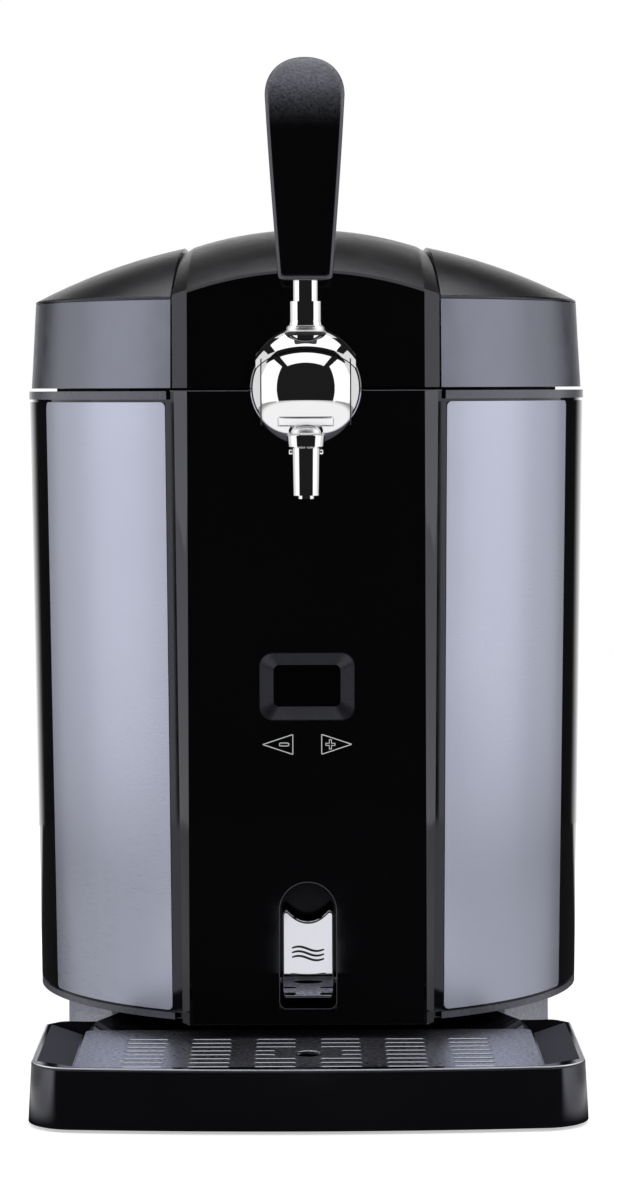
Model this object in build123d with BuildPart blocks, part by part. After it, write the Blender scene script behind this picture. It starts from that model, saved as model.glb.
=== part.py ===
from build123d import *
import os
from math import atan2, cos, degrees, radians, sin, sqrt

# Mini keg beer dispenser. Millimetres, +Z up, front towards -Y, origin under the middle of
# the bounding box, on the surface that the feet stand on.

# ---------------------------------------------------------------- driving dimensions

# Cabinet: a slightly conical drum on a plinth
keg_radius = 86.0  # 5 litre party keg
keg_clearance = 6.0
insulation_depth = 43.5  # keg well to the cabinet's face at its foot
cabinet_flare = 5.3  # wider at the seam than at the foot
cabinet_foot_z = 30.0
seam_z = 330.0
seam_gap = 1.5
cabinet_wall = 3.2
floor_thickness = 3.0
tray_reach = 100.0  # tray front ahead of the tower's foot
housing_reach = 43.7  # rear housing behind the cabinet's widest face
fit = 0.3  # gap between pieces that are put together
running_fit = 0.05  # radial clearance of a pin or shaft

# Trim and side panels
lower_trim_height = 3.0
lower_trim_thickness = 2.6
upper_trim_height = 4.0
upper_trim_thickness = 1.6
upper_trim_proud = 0.3
shadow_line_height = 1.3
shadow_line_depth = 1.2
side_panel_thickness = 0.8
side_panel_inner_angle = 28.5  # from the front, round the cabinet
side_panel_outer_angle = 66.0
side_panel_corner = 2.5

# Centre tower
tower_flat_half = 56.0
tower_edge_half_foot = 59.5
tower_edge_half_seam = 62.5
tower_bevel = 7.0
tower_depth = 26.0
tower_wall = 3.0
tower_groove = 4.0

# Display and keys
display_z = 189.9
bezel_width = 45.1
bezel_height = 32.0
bezel_corner = 6.5
bezel_depth = 6.0
bezel_lip = 2.0
window_width = 31.7
window_height = 19.7
window_corner = 2.8
window_sink = 3.5
window_thickness = 1.6
board_thickness = 1.6
board_sink = 8.0  # back of the display board behind the tower's front
touch_pad_radius = 3.2
touch_pad_gap = 0.2
key_z = 162.6
key_near = 7.0  # upright side of a key, from the middle
key_length = 14.2
key_height = 9.2
print_width = 0.8
print_thickness = 0.12
sign_size = 4.4
sign_offset = 3.5  # centre of a sign from its key's upright side
sign_bar = 1.9
sign_line = 0.45

# Drain niche and lever
niche_width = 26.6
niche_foot_z = 37.7
niche_top_z = 97.6
niche_corner = 3.3
niche_depth = 14.0
niche_wall = 1.6
lever_width = 23.7
lever_foot_z = 42.0
lever_horn_z = 84.4
lever_hollow_z = 78.9
lever_bend_z = 52.5
lever_thickness = 3.6
lever_sink = 0.8
lever_horn_radius = 1.8
drain_pivot_z = 50.0
drain_pivot_depth = 7.6
drain_pin_radius = 1.5
drain_z = 66.0
plunger_rod_radius = 2.0
plunger_head_radius = 3.5
plunger_head_thickness = 1.5
plunger_length = 18.0
drain_valve_radius = 7.0
drain_valve_length = 13.0
drain_spout_radius = 4.0
drain_spout_bore = 2.6
drain_spout_end_z = 31.0
drain_spout_offset = 0.6  # behind the valve's front
drain_hose_radius = 5.0
drain_hose_bore = 3.0
wave_pitch = 2.6
wave_length = 15.4
wave_height = 1.5
wave_line = 0.7
wave_z = 63.6

# Keg well, insulation and deck
well_wall = 1.5
well_foot_z = 58.0
well_flange = 5.5
deck_z = 321.0
deck_thickness = 3.0

# Lid
lid_inset = 1.0  # lid's foot inside the cabinet's face
lid_draft = 2.3  # narrower at the crease than at the foot
lid_crease_z = 373.7
lid_crease_radius = 1.2
lid_wall = 3.0
lid_band_thickness = 1.2
lid_band_drop = 0.9  # top of the side band under the crease
lid_band_gap = 0.5  # shadow line over the side band
dome_top_z = 408.3
dome_radius = 295.0
spine_top_z = 411.0
spine_sweep_radius = 403.4
spine_crown_radius = 182.6
spine_edge_half = 63.2
spine_edge_half_rear = 57.0
spine_bevel_drop = 5.0
spine_rear_reach = 104.0  # behind the cabinet axis
spine_wall = 3.0
spine_edge = 1.0
spine_slot_gap = 1.5
spine_skirt = 10.0
spine_front_zone = 115.0  # outside this radius the spine reaches down to the seam
pan_inset = 4.0  # lid pan inside the keg well
pan_top_z = 366.0
pan_wall = 2.0
liner_ring_z = 331.5
seal_offset = 16.0  # seal outside the keg well
seal_width = 6.0

# Lid hinge
hinge_z = 333.0
hinge_offset = 7.2  # behind the cabinet's widest face
hinge_pin_radius = 2.0
hinge_knuckle_radius = 5.0
hinge_half_width = 32.0
hinge_leaf_half = 19.5
hinge_gap = 0.4
hinge_plate = 3.0
hinge_plate_height = 20.0
hinge_arm_drop = 4.0  # arm's underside above the pin
hinge_foot_height = 12.0
hinge_foot_gap = 1.0  # under the shadow line
hinge_edge = 1.5

# Tap
tap_reach = 45.0  # ball centre ahead of the tower
tap_z = 330.5
ball_radius = 26.3
ball_band_half = 20.3
visor_clearance = 0.3
visor_wall = 2.1
visor_half = 22.7
visor_front_angle = 49.0
visor_rear_angle = 60.0
lever_travel = 38.0  # degrees, forwards
tap_slot_half = 4.6
tap_cavity_radius = 5.4
tap_bore_radius = 5.0
tap_axle_radius = 2.2
tongue_half = 4.0
tongue_thickness = 6.0
neck_radius = 11.0
flange_radius = 15.0
flange_thickness = 5.0
shank_radius = 8.0
shank_bore = 4.5
shank_tail = 23.0  # behind the tower's front
nut_radius = 13.0
nut_thickness = 6.0
stem_offset = 10.0  # stem axis ahead of the ball centre
bowl_z = 353.2
washer_z = 356.3
collar_z = 358.6
collar_top_z = 369.8
stem_top_z = 379.3
handle_top_z = 481.5
bowl_radius = 7.2
bowl_top_radius = 8.0
collar_seat_radius = 9.5
collar_seat_depth = 0.8
washer_radius = 8.5
collar_foot_radius = 8.0
collar_radius = 7.4
stem_radius = 5.9
handle_foot_half = 12.3
handle_side_half = 17.6
handle_side_z = 450.7
handle_widest_half = 18.1
handle_widest_z = 464.2
handle_shoulder_half = 13.5
handle_shoulder_z = 478.2
handle_front_foot = 10.5
handle_front_top = 12.5
handle_curve_z = 452.0
handle_back_foot = 9.5
handle_back_top = 12.5
handle_edge = 2.4
handle_depth_room = 20.0
spout_offset = 14.0  # spout axis ahead of the ball centre
spout_dome_radius = 6.6
spout_dome_z = 309.0
spout_dome_top_z = 314.0
spout_collar_radius = 8.7
spout_collar_foot_radius = 8.1
spout_collar_foot_z = 303.2
spout_radius = 6.4
spout_foot_radius = 6.0
spout_end_z = 281.8
spout_bore = 4.6
nozzle_radius = 3.7
nozzle_bore = 2.6
nozzle_end_z = 280.3
recess_half = 12.8
recess_low_z = 313.2
recess_high_z = 317.4
recess_depth = 0.8

# Cooling unit
cold_block_half = 25.0
cold_block_front = 80.0  # behind the cabinet axis
cold_block_back = 112.0
cooling_z = 185.0
cold_block_height = 70.0
peltier_half = 20.0
peltier_thickness = 3.8
sink_half = 48.0
sink_height = 120.0
sink_base = 5.0
fin_length = 28.0
fin_thickness = 1.5
fin_count = 17
fan_half = 40.0
fan_depth = 20.0
fan_gap = 0.3
fan_bore = 38.0
fan_hub_radius = 15.0
fan_blade_radius = 36.5
fan_blade_count = 7
fan_blade_pitch = 40.0  # degrees
fan_blade_thickness = 1.6
fan_blade_margin = 1.6
fan_shaft_radius = 3.0
fan_plate = 2.5

# Rear housing
housing_half = 64.0
housing_foot_z = 62.0
housing_top_z = 300.0
housing_wall = 2.5
housing_corner = 14.0
rear_opening_half = 55.0
rear_opening_margin = 8.0
grille_radius = 38.0
grille_rim = 3.5
grille_bar = 2.0
grille_pitch = 8.0
grille_thickness = 2.0
side_vent_count = 9
side_vent_pitch = 12.0
side_vent_height = 3.5
side_vent_length = 24.0
inlet_x = -32.0
inlet_z = 92.0
inlet_width = 27.0
inlet_height = 19.6
inlet_depth = 18.0
inlet_wall = 2.0
inlet_floor = 6.0
inlet_pin_length = 7.0
rocker_x = 32.0
rocker_width = 13.0
rocker_height = 18.0
rocker_travel = 10.0  # degrees
rocker_hole_height = 22.0
rocker_stub_radius = 1.5
rocker_stub_length = 0.4
board_z = 68.0
board_half = 34.0
board_depth = 34.0
board_edge = 5.0
transformer_size = 20.0
transformer_height = 14.0
capacitor_radius = 4.0
capacitor_height = 11.0
capacitor_pitch = 9.0
cooler_thickness = 4.0
housing_screw_x = 46.0
housing_screw_low_z = 71.0
housing_screw_high_z = 286.0
screw_radius = 1.6
screw_head_radius = 3.0
screw_head_height = 1.4
screw_length = 14.0
screw_boss_radius = 4.5

# Plinth and feet
plinth_inset = 13.5  # inside the cabinet's foot
plinth_wall = 3.0
plinth_gap = 0.3  # behind the tray's foot
plinth_foot_z = 2.0
plinth_boss_radius = 10.5
foot_radius = 9.0
foot_x = 74.0
foot_front = 52.0  # ahead of the cabinet axis
foot_rear = 66.0  # behind the cabinet axis
base_screw_radius = 2.0
base_screw_head = 4.0
base_screw_head_z = 18.0

# Drip tray and grille
tray_top_z = 28.4
tray_foot_z = 1.5
tray_flare = 1.4  # the foot is wider than the rim by this on every side
tray_half = 124.7
tray_front_half = 104.0
tray_bow = 5.2
tray_corner_back = 26.0
tray_side_end = 114.0  # behind the tray's front
tray_rear_half = 84.0
tray_depth = 158.5
tray_rim = 2.6
tray_floor = 3.5
tray_edge = 1.2
facet_cut_x = 21.0  # corners of the sloped inner walls at the rim
facet_cut_front = 16.0
facet_cut_back = 43.0
grille_margin = 1.5
grille_half = 106.2
grille_front = 14.0  # behind the tray's front
grille_back = 122.5
grille_sheet = 1.5
grille_top_z = 23.6
grille_corner = 4.0
grille_seat = 3.0
slot_length = 19.4
slot_width = 3.0
slot_pitch_x = 30.2
slot_pitch_y = 9.35
slot_rows = 8
slot_columns = 6
slot_first_row = 32.1  # behind the tray's front
finger_hole_radius = 7.4
finger_hole_back = 62.9
tray_foot_radius = 8.0
tray_foot_x = 92.0
tray_foot_front = 28.0
tray_foot_rear = 108.0

# ---------------------------------------------------------------- derived places

well_radius = keg_radius + keg_clearance
well_outer = well_radius + well_wall
cabinet_radius_foot = well_radius + insulation_depth
cabinet_radius_seam = cabinet_radius_foot + cabinet_flare
rear_reach = cabinet_radius_seam + housing_reach
lid_radius_foot = cabinet_radius_seam - lid_inset
lid_radius_crease = lid_radius_foot - lid_draft
pan_radius = well_radius - pan_inset
seal_inner_radius = well_radius + seal_offset
hinge_reach = cabinet_radius_seam + hinge_offset
plinth_radius = cabinet_radius_foot - plinth_inset
plinth_front = cabinet_radius_foot + tray_reach - tray_depth - tray_flare - plinth_gap
total_depth = tray_reach + tray_flare + cabinet_radius_foot + rear_reach
tray_front_y = tray_flare - total_depth / 2
axis_y = tray_front_y + tray_reach + cabinet_radius_foot
rear_y = axis_y + rear_reach
cabinet_top_z = seam_z - seam_gap / 2
lid_foot_z = seam_z + seam_gap / 2
lean = (cabinet_radius_seam - cabinet_radius_foot) / (seam_z - cabinet_foot_z)
upper_trim_z = cabinet_top_z - upper_trim_height
panel_low_z = cabinet_foot_z + lower_trim_height + shadow_line_height
panel_high_z = upper_trim_z - shadow_line_height
body_axis = Axis((0, axis_y, 0), (0, 0, 1))
profile_plane = Plane.XZ.offset(-axis_y)


def cabinet_radius(z):
    return cabinet_radius_foot + lean * (z - cabinet_foot_z)


def lid_radius(z):
    share = (z - lid_foot_z) / (lid_crease_z - lid_foot_z)
    return lid_radius_foot + share * (lid_radius_crease - lid_radius_foot)


def front_y(z):
    """Front face of the centre tower."""
    return axis_y - cabinet_radius(z)


def edge_half(z):
    """Half width over the tower's bevels."""
    share = (z - cabinet_foot_z) / (seam_z - cabinet_foot_z)
    return tower_edge_half_foot + share * (tower_edge_half_seam - tower_edge_half_foot)


def face_plane(z, depth=0.0):
    """Plane of the tower's front at height z, facing out, moved inwards by depth."""
    normal = Vector(0, -1, -lean).normalized()
    return Plane(Vector(0, front_y(z), z) - normal * depth, x_dir=(1, 0, 0), z_dir=normal)


def dome_z(radius, drop=0.0):
    """Height of the lid's dome, or of a surface that lies drop inside it."""
    inner = dome_radius - drop
    return dome_top_z - dome_radius + sqrt(inner**2 - radius**2)


# ---------------------------------------------------------------- shape helpers


def turned(*points):
    """Solid of revolution about the cabinet axis, from (radius, height) points."""
    with BuildPart() as solid:
        with BuildSketch(profile_plane):
            with BuildLine():
                Polyline(*points, close=True)
            make_face()
        revolve(axis=body_axis)
    return solid.part


def block(x_low, x_high, y_low, y_high, z_low, z_high):
    with BuildPart() as solid:
        with BuildSketch(Plane.XY.offset(z_low)):
            with Locations(((x_low + x_high) / 2, (y_low + y_high) / 2)):
                Rectangle(x_high - x_low, y_high - y_low)
        extrude(amount=z_high - z_low)
    return solid.part


def rod_x(radius, x_low, x_high, y, z):
    with BuildPart() as solid:
        with BuildSketch(Plane.YZ.offset(x_low)):
            with Locations((y, z)):
                Circle(radius)
        extrude(amount=x_high - x_low)
    return solid.part


def rod_y(radius, y_low, y_high, x, z):
    with BuildPart() as solid:
        with BuildSketch(Plane.XZ.offset(-y_high)):
            with Locations((x, z)):
                Circle(radius)
        extrude(amount=y_high - y_low)
    return solid.part


def rod_z(radius, z_low, z_high, x, y, top_radius=None):
    with BuildPart() as solid:
        if top_radius is None or top_radius == radius:
            with BuildSketch(Plane.XY.offset(z_low)):
                with Locations((x, y)):
                    Circle(radius)
            extrude(amount=z_high - z_low)
        else:
            for height, size in ((z_low, radius), (z_high, top_radius)):
                with BuildSketch(Plane.XY.offset(height)):
                    with Locations((x, y)):
                        Circle(size)
            loft()
    return solid.part


def tower_outline(z, front, flat, edge, back, rear_edge, grow):
    """Plan of the tower: flat front, bevelled edges and straight sides."""
    with BuildSketch(Plane.XY.offset(z)) as outline:
        with BuildLine():
            Polyline(
                (-rear_edge, back),
                (-edge, front + tower_bevel),
                (-flat, front),
                (flat, front),
                (edge, front + tower_bevel),
                (rear_edge, back),
                close=True,
            )
        make_face()
        if grow:
            offset(amount=grow, kind=Kind.INTERSECTION, mode=Mode.REPLACE)
    return outline.sketch


def tower(grow=0.0, depth=tower_depth, low=cabinet_foot_z, high=cabinet_top_z):
    """Solid of the cabinet's centre tower, grown or shrunk by an even margin."""
    with BuildPart() as solid:
        sections = []
        for z in (low, high):
            front = front_y(z)
            sections.append(
                tower_outline(
                    z, front, tower_flat_half, edge_half(z), front + depth, edge_half(z), grow
                )
            )
        loft(sections)
    return solid.part


def sector(angle_low, angle_high, z_low, z_high, inner_drop, outer_drop):
    """Skin of the cabinet between two angles from the front, positive towards +X."""
    start = radians(angle_low)
    plane = Plane(
        (0, axis_y, 0), x_dir=(sin(start), -cos(start), 0), z_dir=(-cos(start), -sin(start), 0)
    )
    with BuildPart() as solid:
        with BuildSketch(plane):
            with BuildLine():
                Polyline(
                    (cabinet_radius(z_low) - inner_drop, z_low),
                    (cabinet_radius(z_low) - outer_drop, z_low),
                    (cabinet_radius(z_high) - outer_drop, z_high),
                    (cabinet_radius(z_high) - inner_drop, z_high),
                    close=True,
                )
            make_face()
        revolve(axis=body_axis, revolution_arc=angle_high - angle_low)
    return solid.part


# ---------------------------------------------------------------- plinth and feet

foot_places = [
    (side * foot_x, y)
    for side in (-1, 1)
    for y in (axis_y - foot_front, axis_y + foot_rear)
]
base_screw_top_z = cabinet_foot_z + floor_thickness

with BuildPart() as base_plinth:
    with BuildSketch(Plane.XY.offset(plinth_foot_z)) as plinth_outline:
        with Locations((0, axis_y)):
            Circle(plinth_radius)
        with Locations((0, axis_y - plinth_front - plinth_radius)):
            Rectangle(2 * plinth_radius, 2 * plinth_radius, mode=Mode.SUBTRACT)
    extrude(amount=cabinet_foot_z - plinth_foot_z)
    with BuildSketch(Plane.XY.offset(plinth_foot_z)):
        offset(plinth_outline.sketch, amount=-plinth_wall)
    extrude(amount=cabinet_foot_z - plinth_foot_z - plinth_wall, mode=Mode.SUBTRACT)
    with BuildSketch(Plane.XY.offset(plinth_foot_z)):
        with Locations(*foot_places):
            Circle(plinth_boss_radius)
    extrude(amount=cabinet_foot_z - plinth_foot_z)
    with BuildSketch(Plane.XY.offset(plinth_foot_z)):
        with Locations(*foot_places):
            Circle(base_screw_head + fit)
    extrude(amount=base_screw_head_z - plinth_foot_z, mode=Mode.SUBTRACT)
    with BuildSketch(Plane.XY.offset(plinth_foot_z)):
        with Locations(*foot_places):
            Circle(base_screw_radius + running_fit)
    extrude(amount=cabinet_foot_z - plinth_foot_z, mode=Mode.SUBTRACT)

with BuildPart() as rubber_feet:
    with BuildSketch():
        with Locations(*foot_places):
            Circle(foot_radius)
    extrude(amount=plinth_foot_z)
    chamfer(rubber_feet.faces().sort_by(Axis.Z)[0].edges(), length=0.5)

with BuildPart() as base_screws:
    with BuildSketch(Plane.XY.offset(base_screw_head_z - screw_head_height)):
        with Locations(*foot_places):
            Circle(base_screw_head)
    extrude(amount=screw_head_height)
    with BuildSketch(Plane.XY.offset(base_screw_head_z)):
        with Locations(*foot_places):
            Circle(base_screw_radius)
    extrude(amount=base_screw_top_z - base_screw_head_z)

# ---------------------------------------------------------------- cabinet shell and trim

inner_foot_z = cabinet_foot_z + floor_thickness


def cabinet_inner(z):
    return cabinet_radius(z) - cabinet_wall


trim_seat = lower_trim_thickness + fit
trim_top_z = cabinet_foot_z + lower_trim_height
band_seat = upper_trim_thickness + running_fit

shell_body = turned(
    (0, cabinet_foot_z),
    (cabinet_radius(cabinet_foot_z) - trim_seat, cabinet_foot_z),
    (cabinet_radius(trim_top_z) - trim_seat, trim_top_z),
    (cabinet_radius(trim_top_z) - shadow_line_depth, trim_top_z),
    (cabinet_radius(panel_low_z) - shadow_line_depth, panel_low_z),
    (cabinet_radius(panel_low_z), panel_low_z),
    (cabinet_radius(panel_high_z), panel_high_z),
    (cabinet_radius(panel_high_z) - shadow_line_depth, panel_high_z),
    (cabinet_radius(upper_trim_z) - shadow_line_depth, upper_trim_z),
    (cabinet_radius(upper_trim_z) - band_seat, upper_trim_z),
    (cabinet_radius(cabinet_top_z) - band_seat, cabinet_top_z),
    (cabinet_inner(cabinet_top_z), cabinet_top_z),
    (cabinet_inner(inner_foot_z), inner_foot_z),
    (0, inner_foot_z),
)
tower_opening = tower(grow=fit, low=cabinet_foot_z - 1, high=seam_z)
rear_opening_low = housing_foot_z + rear_opening_margin
rear_opening_high = housing_top_z - rear_opening_margin

with BuildPart() as body_shell:
    add(shell_body)
    add(tower_opening, mode=Mode.SUBTRACT)
    for side in (-1, 1):
        angles = sorted((side * side_panel_inner_angle, side * side_panel_outer_angle))
        add(
            sector(
                angles[0] - 0.15,
                angles[1] + 0.15,
                panel_low_z - 0.5,
                panel_high_z + 0.5,
                side_panel_thickness + running_fit,
                -2.0,
            ),
            mode=Mode.SUBTRACT,
        )
    add(
        block(
            -rear_opening_half,
            rear_opening_half,
            axis_y + well_radius,
            rear_y,
            rear_opening_low,
            rear_opening_high,
        ),
        mode=Mode.SUBTRACT,
    )
    with BuildSketch(Plane.XY.offset(cabinet_foot_z)):
        with Locations(*foot_places):
            Circle(base_screw_radius + running_fit)
    extrude(amount=floor_thickness, mode=Mode.SUBTRACT)

groove_cut = tower(grow=tower_groove, depth=tower_depth, low=cabinet_foot_z - 1, high=seam_z + 1)

with BuildPart() as lower_trim:
    add(
        turned(
            (cabinet_radius(cabinet_foot_z) - lower_trim_thickness, cabinet_foot_z),
            (cabinet_radius(cabinet_foot_z), cabinet_foot_z),
            (cabinet_radius(trim_top_z), trim_top_z),
            (cabinet_radius(trim_top_z) - lower_trim_thickness, trim_top_z),
        )
    )
    add(groove_cut, mode=Mode.SUBTRACT)

with BuildPart() as upper_trim_band:
    add(
        turned(
            (cabinet_radius(upper_trim_z) - upper_trim_thickness, upper_trim_z),
            (cabinet_radius(upper_trim_z) + upper_trim_proud, upper_trim_z),
            (cabinet_radius(cabinet_top_z) + upper_trim_proud, cabinet_top_z),
            (cabinet_radius(cabinet_top_z) - upper_trim_thickness, cabinet_top_z),
        )
    )
    add(groove_cut, mode=Mode.SUBTRACT)


def side_panel(side):
    angles = sorted((side * side_panel_inner_angle, side * side_panel_outer_angle))
    with BuildPart() as panel:
        add(
            sector(
                angles[0], angles[1], panel_low_z, panel_high_z, side_panel_thickness, 0.0
            )
        )
        corners = panel.edges().filter_by(lambda edge: edge.length < side_panel_thickness * 1.2)
        fillet(corners, radius=side_panel_corner)
    return panel


side_panel_left = side_panel(-1)
side_panel_right = side_panel(1)

# ---------------------------------------------------------------- centre tower

niche_back = niche_depth + niche_wall
drain_y = front_y(drain_z)
valve_front_y = drain_y + niche_back + fit
drain_spout_y = valve_front_y + drain_spout_radius + drain_spout_offset

shank_notch = rod_y(
    shank_radius + fit, front_y(seam_z) - 1, front_y(seam_z) + tower_depth + 2, 0, tap_z
)
nut_room = block(
    -nut_radius - 1.5,
    nut_radius + 1.5,
    front_y(seam_z) + tower_wall + 0.1,
    front_y(seam_z) + tower_depth + 2,
    tap_z - nut_radius - 3,
    seam_z,
)


def niche_outline(plane, grow=0.0):
    """Arched outline of the drain niche, on a plane whose y is measured from its foot."""
    half = niche_width / 2
    height = niche_top_z - niche_foot_z
    with BuildSketch(plane) as outline:
        with BuildLine():
            Polyline((-half, height - half), (-half, 0), (half, 0), (half, height - half))
            ThreePointArc((half, height - half), (0, height), (-half, height - half))
        make_face()
        fillet(outline.vertices().group_by(Axis.Y)[0], niche_corner)
        if grow:
            offset(amount=grow, kind=Kind.ARC, mode=Mode.REPLACE)
    return outline.sketch


def niche_solid(grow, depth_from, depth_to):
    plane = face_plane(niche_foot_z, depth_to)
    with BuildPart() as solid:
        extrude(niche_outline(plane, grow), amount=depth_to - depth_from, dir=plane.z_dir)
    return solid.part


with BuildPart() as front_panel:
    add(tower())
    add(
        tower(
            grow=-tower_wall,
            depth=tower_depth + 2 * tower_wall,
            low=cabinet_foot_z + floor_thickness,
            high=cabinet_top_z - tower_wall,
        ),
        mode=Mode.SUBTRACT,
    )
    with BuildSketch(face_plane(display_z, tower_wall + 1)):
        RectangleRounded(bezel_width + fit, bezel_height + fit, bezel_corner)
    extrude(amount=tower_wall + 2, mode=Mode.SUBTRACT)
    add(niche_solid(0.0, -1.0, tower_wall + 1), mode=Mode.SUBTRACT)
    add(shank_notch, mode=Mode.SUBTRACT)
    add(nut_room, mode=Mode.SUBTRACT)
    add(
        rod_z(
            drain_spout_radius + fit, cabinet_foot_z - 1, inner_foot_z + 1, 0, drain_spout_y
        ),
        mode=Mode.SUBTRACT,
    )

# ---------------------------------------------------------------- display and keys

with BuildPart() as display_bezel:
    with BuildSketch(face_plane(display_z, bezel_depth)):
        RectangleRounded(bezel_width, bezel_height, bezel_corner)
    extrude(amount=bezel_depth)
    with BuildSketch(face_plane(display_z, bezel_depth)):
        RectangleRounded(
            bezel_width + 2 * bezel_lip, bezel_height + 2 * bezel_lip, bezel_corner + bezel_lip
        )
    extrude(amount=bezel_depth - tower_wall - 0.1)
    with BuildSketch(face_plane(display_z, window_sink)):
        RectangleRounded(window_width, window_height, window_corner)
    with BuildSketch(face_plane(display_z)):
        RectangleRounded(bezel_width - 0.8, bezel_height - 0.8, bezel_corner - 0.4)
    loft(mode=Mode.SUBTRACT)
    with BuildSketch(face_plane(display_z, bezel_depth)):
        RectangleRounded(window_width + 3, window_height + 3, window_corner)
    extrude(amount=bezel_depth - window_sink, mode=Mode.SUBTRACT)

with BuildPart() as display_window:
    with BuildSketch(face_plane(display_z, window_sink + window_thickness)):
        RectangleRounded(window_width + 2.8, window_height + 2.8, window_corner)
    extrude(amount=window_thickness - 0.02)

display_board_height = display_z + bezel_height / 2 - (key_z - key_height)
display_board_middle_z = key_z - key_height + display_board_height / 2
with BuildPart() as display_board:
    with BuildSketch(face_plane(display_board_middle_z, board_sink)):
        Rectangle(bezel_width, display_board_height)
    extrude(amount=board_thickness)
    with BuildSketch(face_plane(display_z, board_sink - board_thickness)):
        Rectangle(window_width, window_height)
    extrude(amount=board_sink - board_thickness - window_sink - window_thickness - touch_pad_gap)
    for side in (-1, 1):
        with BuildSketch(face_plane(key_z, board_sink - board_thickness)):
            with Locations((side * (key_near + key_length / 2), 0)):
                Circle(touch_pad_radius)
        extrude(amount=board_sink - board_thickness - tower_wall - touch_pad_gap)


def key_outline(side):
    """Hollow triangle pointing outwards."""
    with BuildSketch(face_plane(key_z)) as outline:
        with BuildLine():
            Polyline(
                (side * key_near, -key_height / 2),
                (side * key_near, key_height / 2),
                (side * (key_near + key_length), 0),
                close=True,
            )
        make_face()
        offset(amount=-print_width, kind=Kind.INTERSECTION, mode=Mode.SUBTRACT)
    return outline.sketch


def sign_outline(side):
    """Outlined minus on the left key, outlined plus on the right one."""
    with BuildSketch(face_plane(key_z)) as outline:
        with Locations((side * (key_near + sign_offset), 0)):
            Rectangle(sign_size, sign_bar)
            if side > 0:
                Rectangle(sign_bar, sign_size)
        offset(amount=-sign_line, kind=Kind.INTERSECTION, mode=Mode.SUBTRACT)
    return outline.sketch


with BuildPart() as key_symbols:
    for side in (-1, 1):
        for printed in (key_outline(side), sign_outline(side)):
            extrude(printed, amount=print_thickness, dir=face_plane(key_z).z_dir)

# ---------------------------------------------------------------- drain

valve_back_y = valve_front_y + drain_valve_length
drain_pivot_y = front_y(drain_pivot_z) + drain_pivot_depth
plunger_bore = plunger_rod_radius + 2.2
liner_front_y = axis_y - well_radius - well_wall

with BuildPart() as drain_housing:
    add(niche_solid(niche_wall, tower_wall + 0.1, niche_back))
    add(niche_solid(0.0, tower_wall - 1, niche_depth), mode=Mode.SUBTRACT)
    add(
        rod_x(
            drain_pin_radius + 0.02, -niche_width, niche_width, drain_pivot_y, drain_pivot_z
        ),
        mode=Mode.SUBTRACT,
    )
    add(
        rod_y(
            plunger_rod_radius + running_fit, drain_y + 5, drain_y + niche_back + 5, 0, drain_z
        ),
        mode=Mode.SUBTRACT,
    )

with BuildPart() as drain_pin:
    add(
        rod_x(
            drain_pin_radius,
            -niche_width / 2 - niche_wall,
            niche_width / 2 + niche_wall,
            drain_pivot_y,
            drain_pivot_z,
        )
    )

lever_front = lever_sink
lever_back = lever_sink + lever_thickness
lever_half = lever_width / 2
with BuildPart() as drain_lever:
    lever_plane = Plane(
        face_plane(lever_foot_z).origin,
        x_dir=-face_plane(lever_foot_z).z_dir,
        z_dir=(1, 0, 0),
    )
    bend = lever_bend_z - lever_foot_z
    with BuildSketch(lever_plane.offset(-lever_half)) as side_profile:
        horn = lever_horn_z - lever_foot_z
        with BuildLine():
            Polyline((lever_front, bend), (lever_front, horn), (lever_back, horn), (lever_back, bend))
            ThreePointArc(
                (lever_back, bend), (lever_back + 1.0, bend * 0.5), (lever_back + 4.0, bend * 0.16)
            )
            Line((lever_back + 4.0, bend * 0.16), (lever_back + 3.0, 0))
            ThreePointArc((lever_back + 3.0, 0), (lever_front + 1.6, bend * 0.36), (lever_front, bend))
        make_face()
    extrude(amount=lever_width)
    add(
        rod_x(
            4.2, -lever_half + 2, lever_half - 2, drain_pivot_y, drain_pivot_z
        )
    )
    hollow_chord = 2 * (lever_half - 2 * lever_horn_radius)
    hollow_rise = lever_horn_z - lever_hollow_z
    hollow_radius = (hollow_chord**2 / 4 + hollow_rise**2) / (2 * hollow_rise)
    with BuildSketch(face_plane(lever_foot_z, lever_back + 1)):
        with Locations((0, lever_hollow_z - lever_foot_z + hollow_radius)):
            Circle(hollow_radius)
    extrude(amount=lever_thickness + 3, mode=Mode.SUBTRACT)
    add(
        rod_x(
            drain_pin_radius + running_fit,
            -niche_width / 2,
            niche_width / 2,
            drain_pivot_y,
            drain_pivot_z,
        ),
        mode=Mode.SUBTRACT,
    )


def wave(height):
    """One wavy stroke, as a thin ribbon."""
    half = wave_length / 2
    quarter = wave_length / 4
    with BuildSketch(face_plane(wave_z, lever_sink)) as ribbon:
        with BuildLine():
            Spline(
                (-half, height - wave_height * 0.3),
                (-quarter, height + wave_height / 2),
                (0, height),
                (quarter, height - wave_height / 2),
                (half, height + wave_height * 0.3),
            )
        trace(line_width=wave_line)
    return ribbon.sketch


with BuildPart() as drain_symbol:
    for number in (-1, 0, 1):
        stroke = wave(number * wave_pitch)
        extrude(stroke, amount=print_thickness, dir=face_plane(wave_z).z_dir)

plunger_front_y = drain_y + lever_back + 0.9
with BuildPart() as drain_plunger:
    add(
        rod_y(
            plunger_head_radius, plunger_front_y, plunger_front_y + plunger_head_thickness, 0, drain_z
        )
    )
    add(
        rod_y(plunger_rod_radius, plunger_front_y, plunger_front_y + plunger_length, 0, drain_z)
    )
    add(
        rod_y(
            plunger_bore - 0.3,
            plunger_front_y + plunger_length,
            plunger_front_y + plunger_length + 2.5,
            0,
            drain_z,
        )
    )

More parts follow.
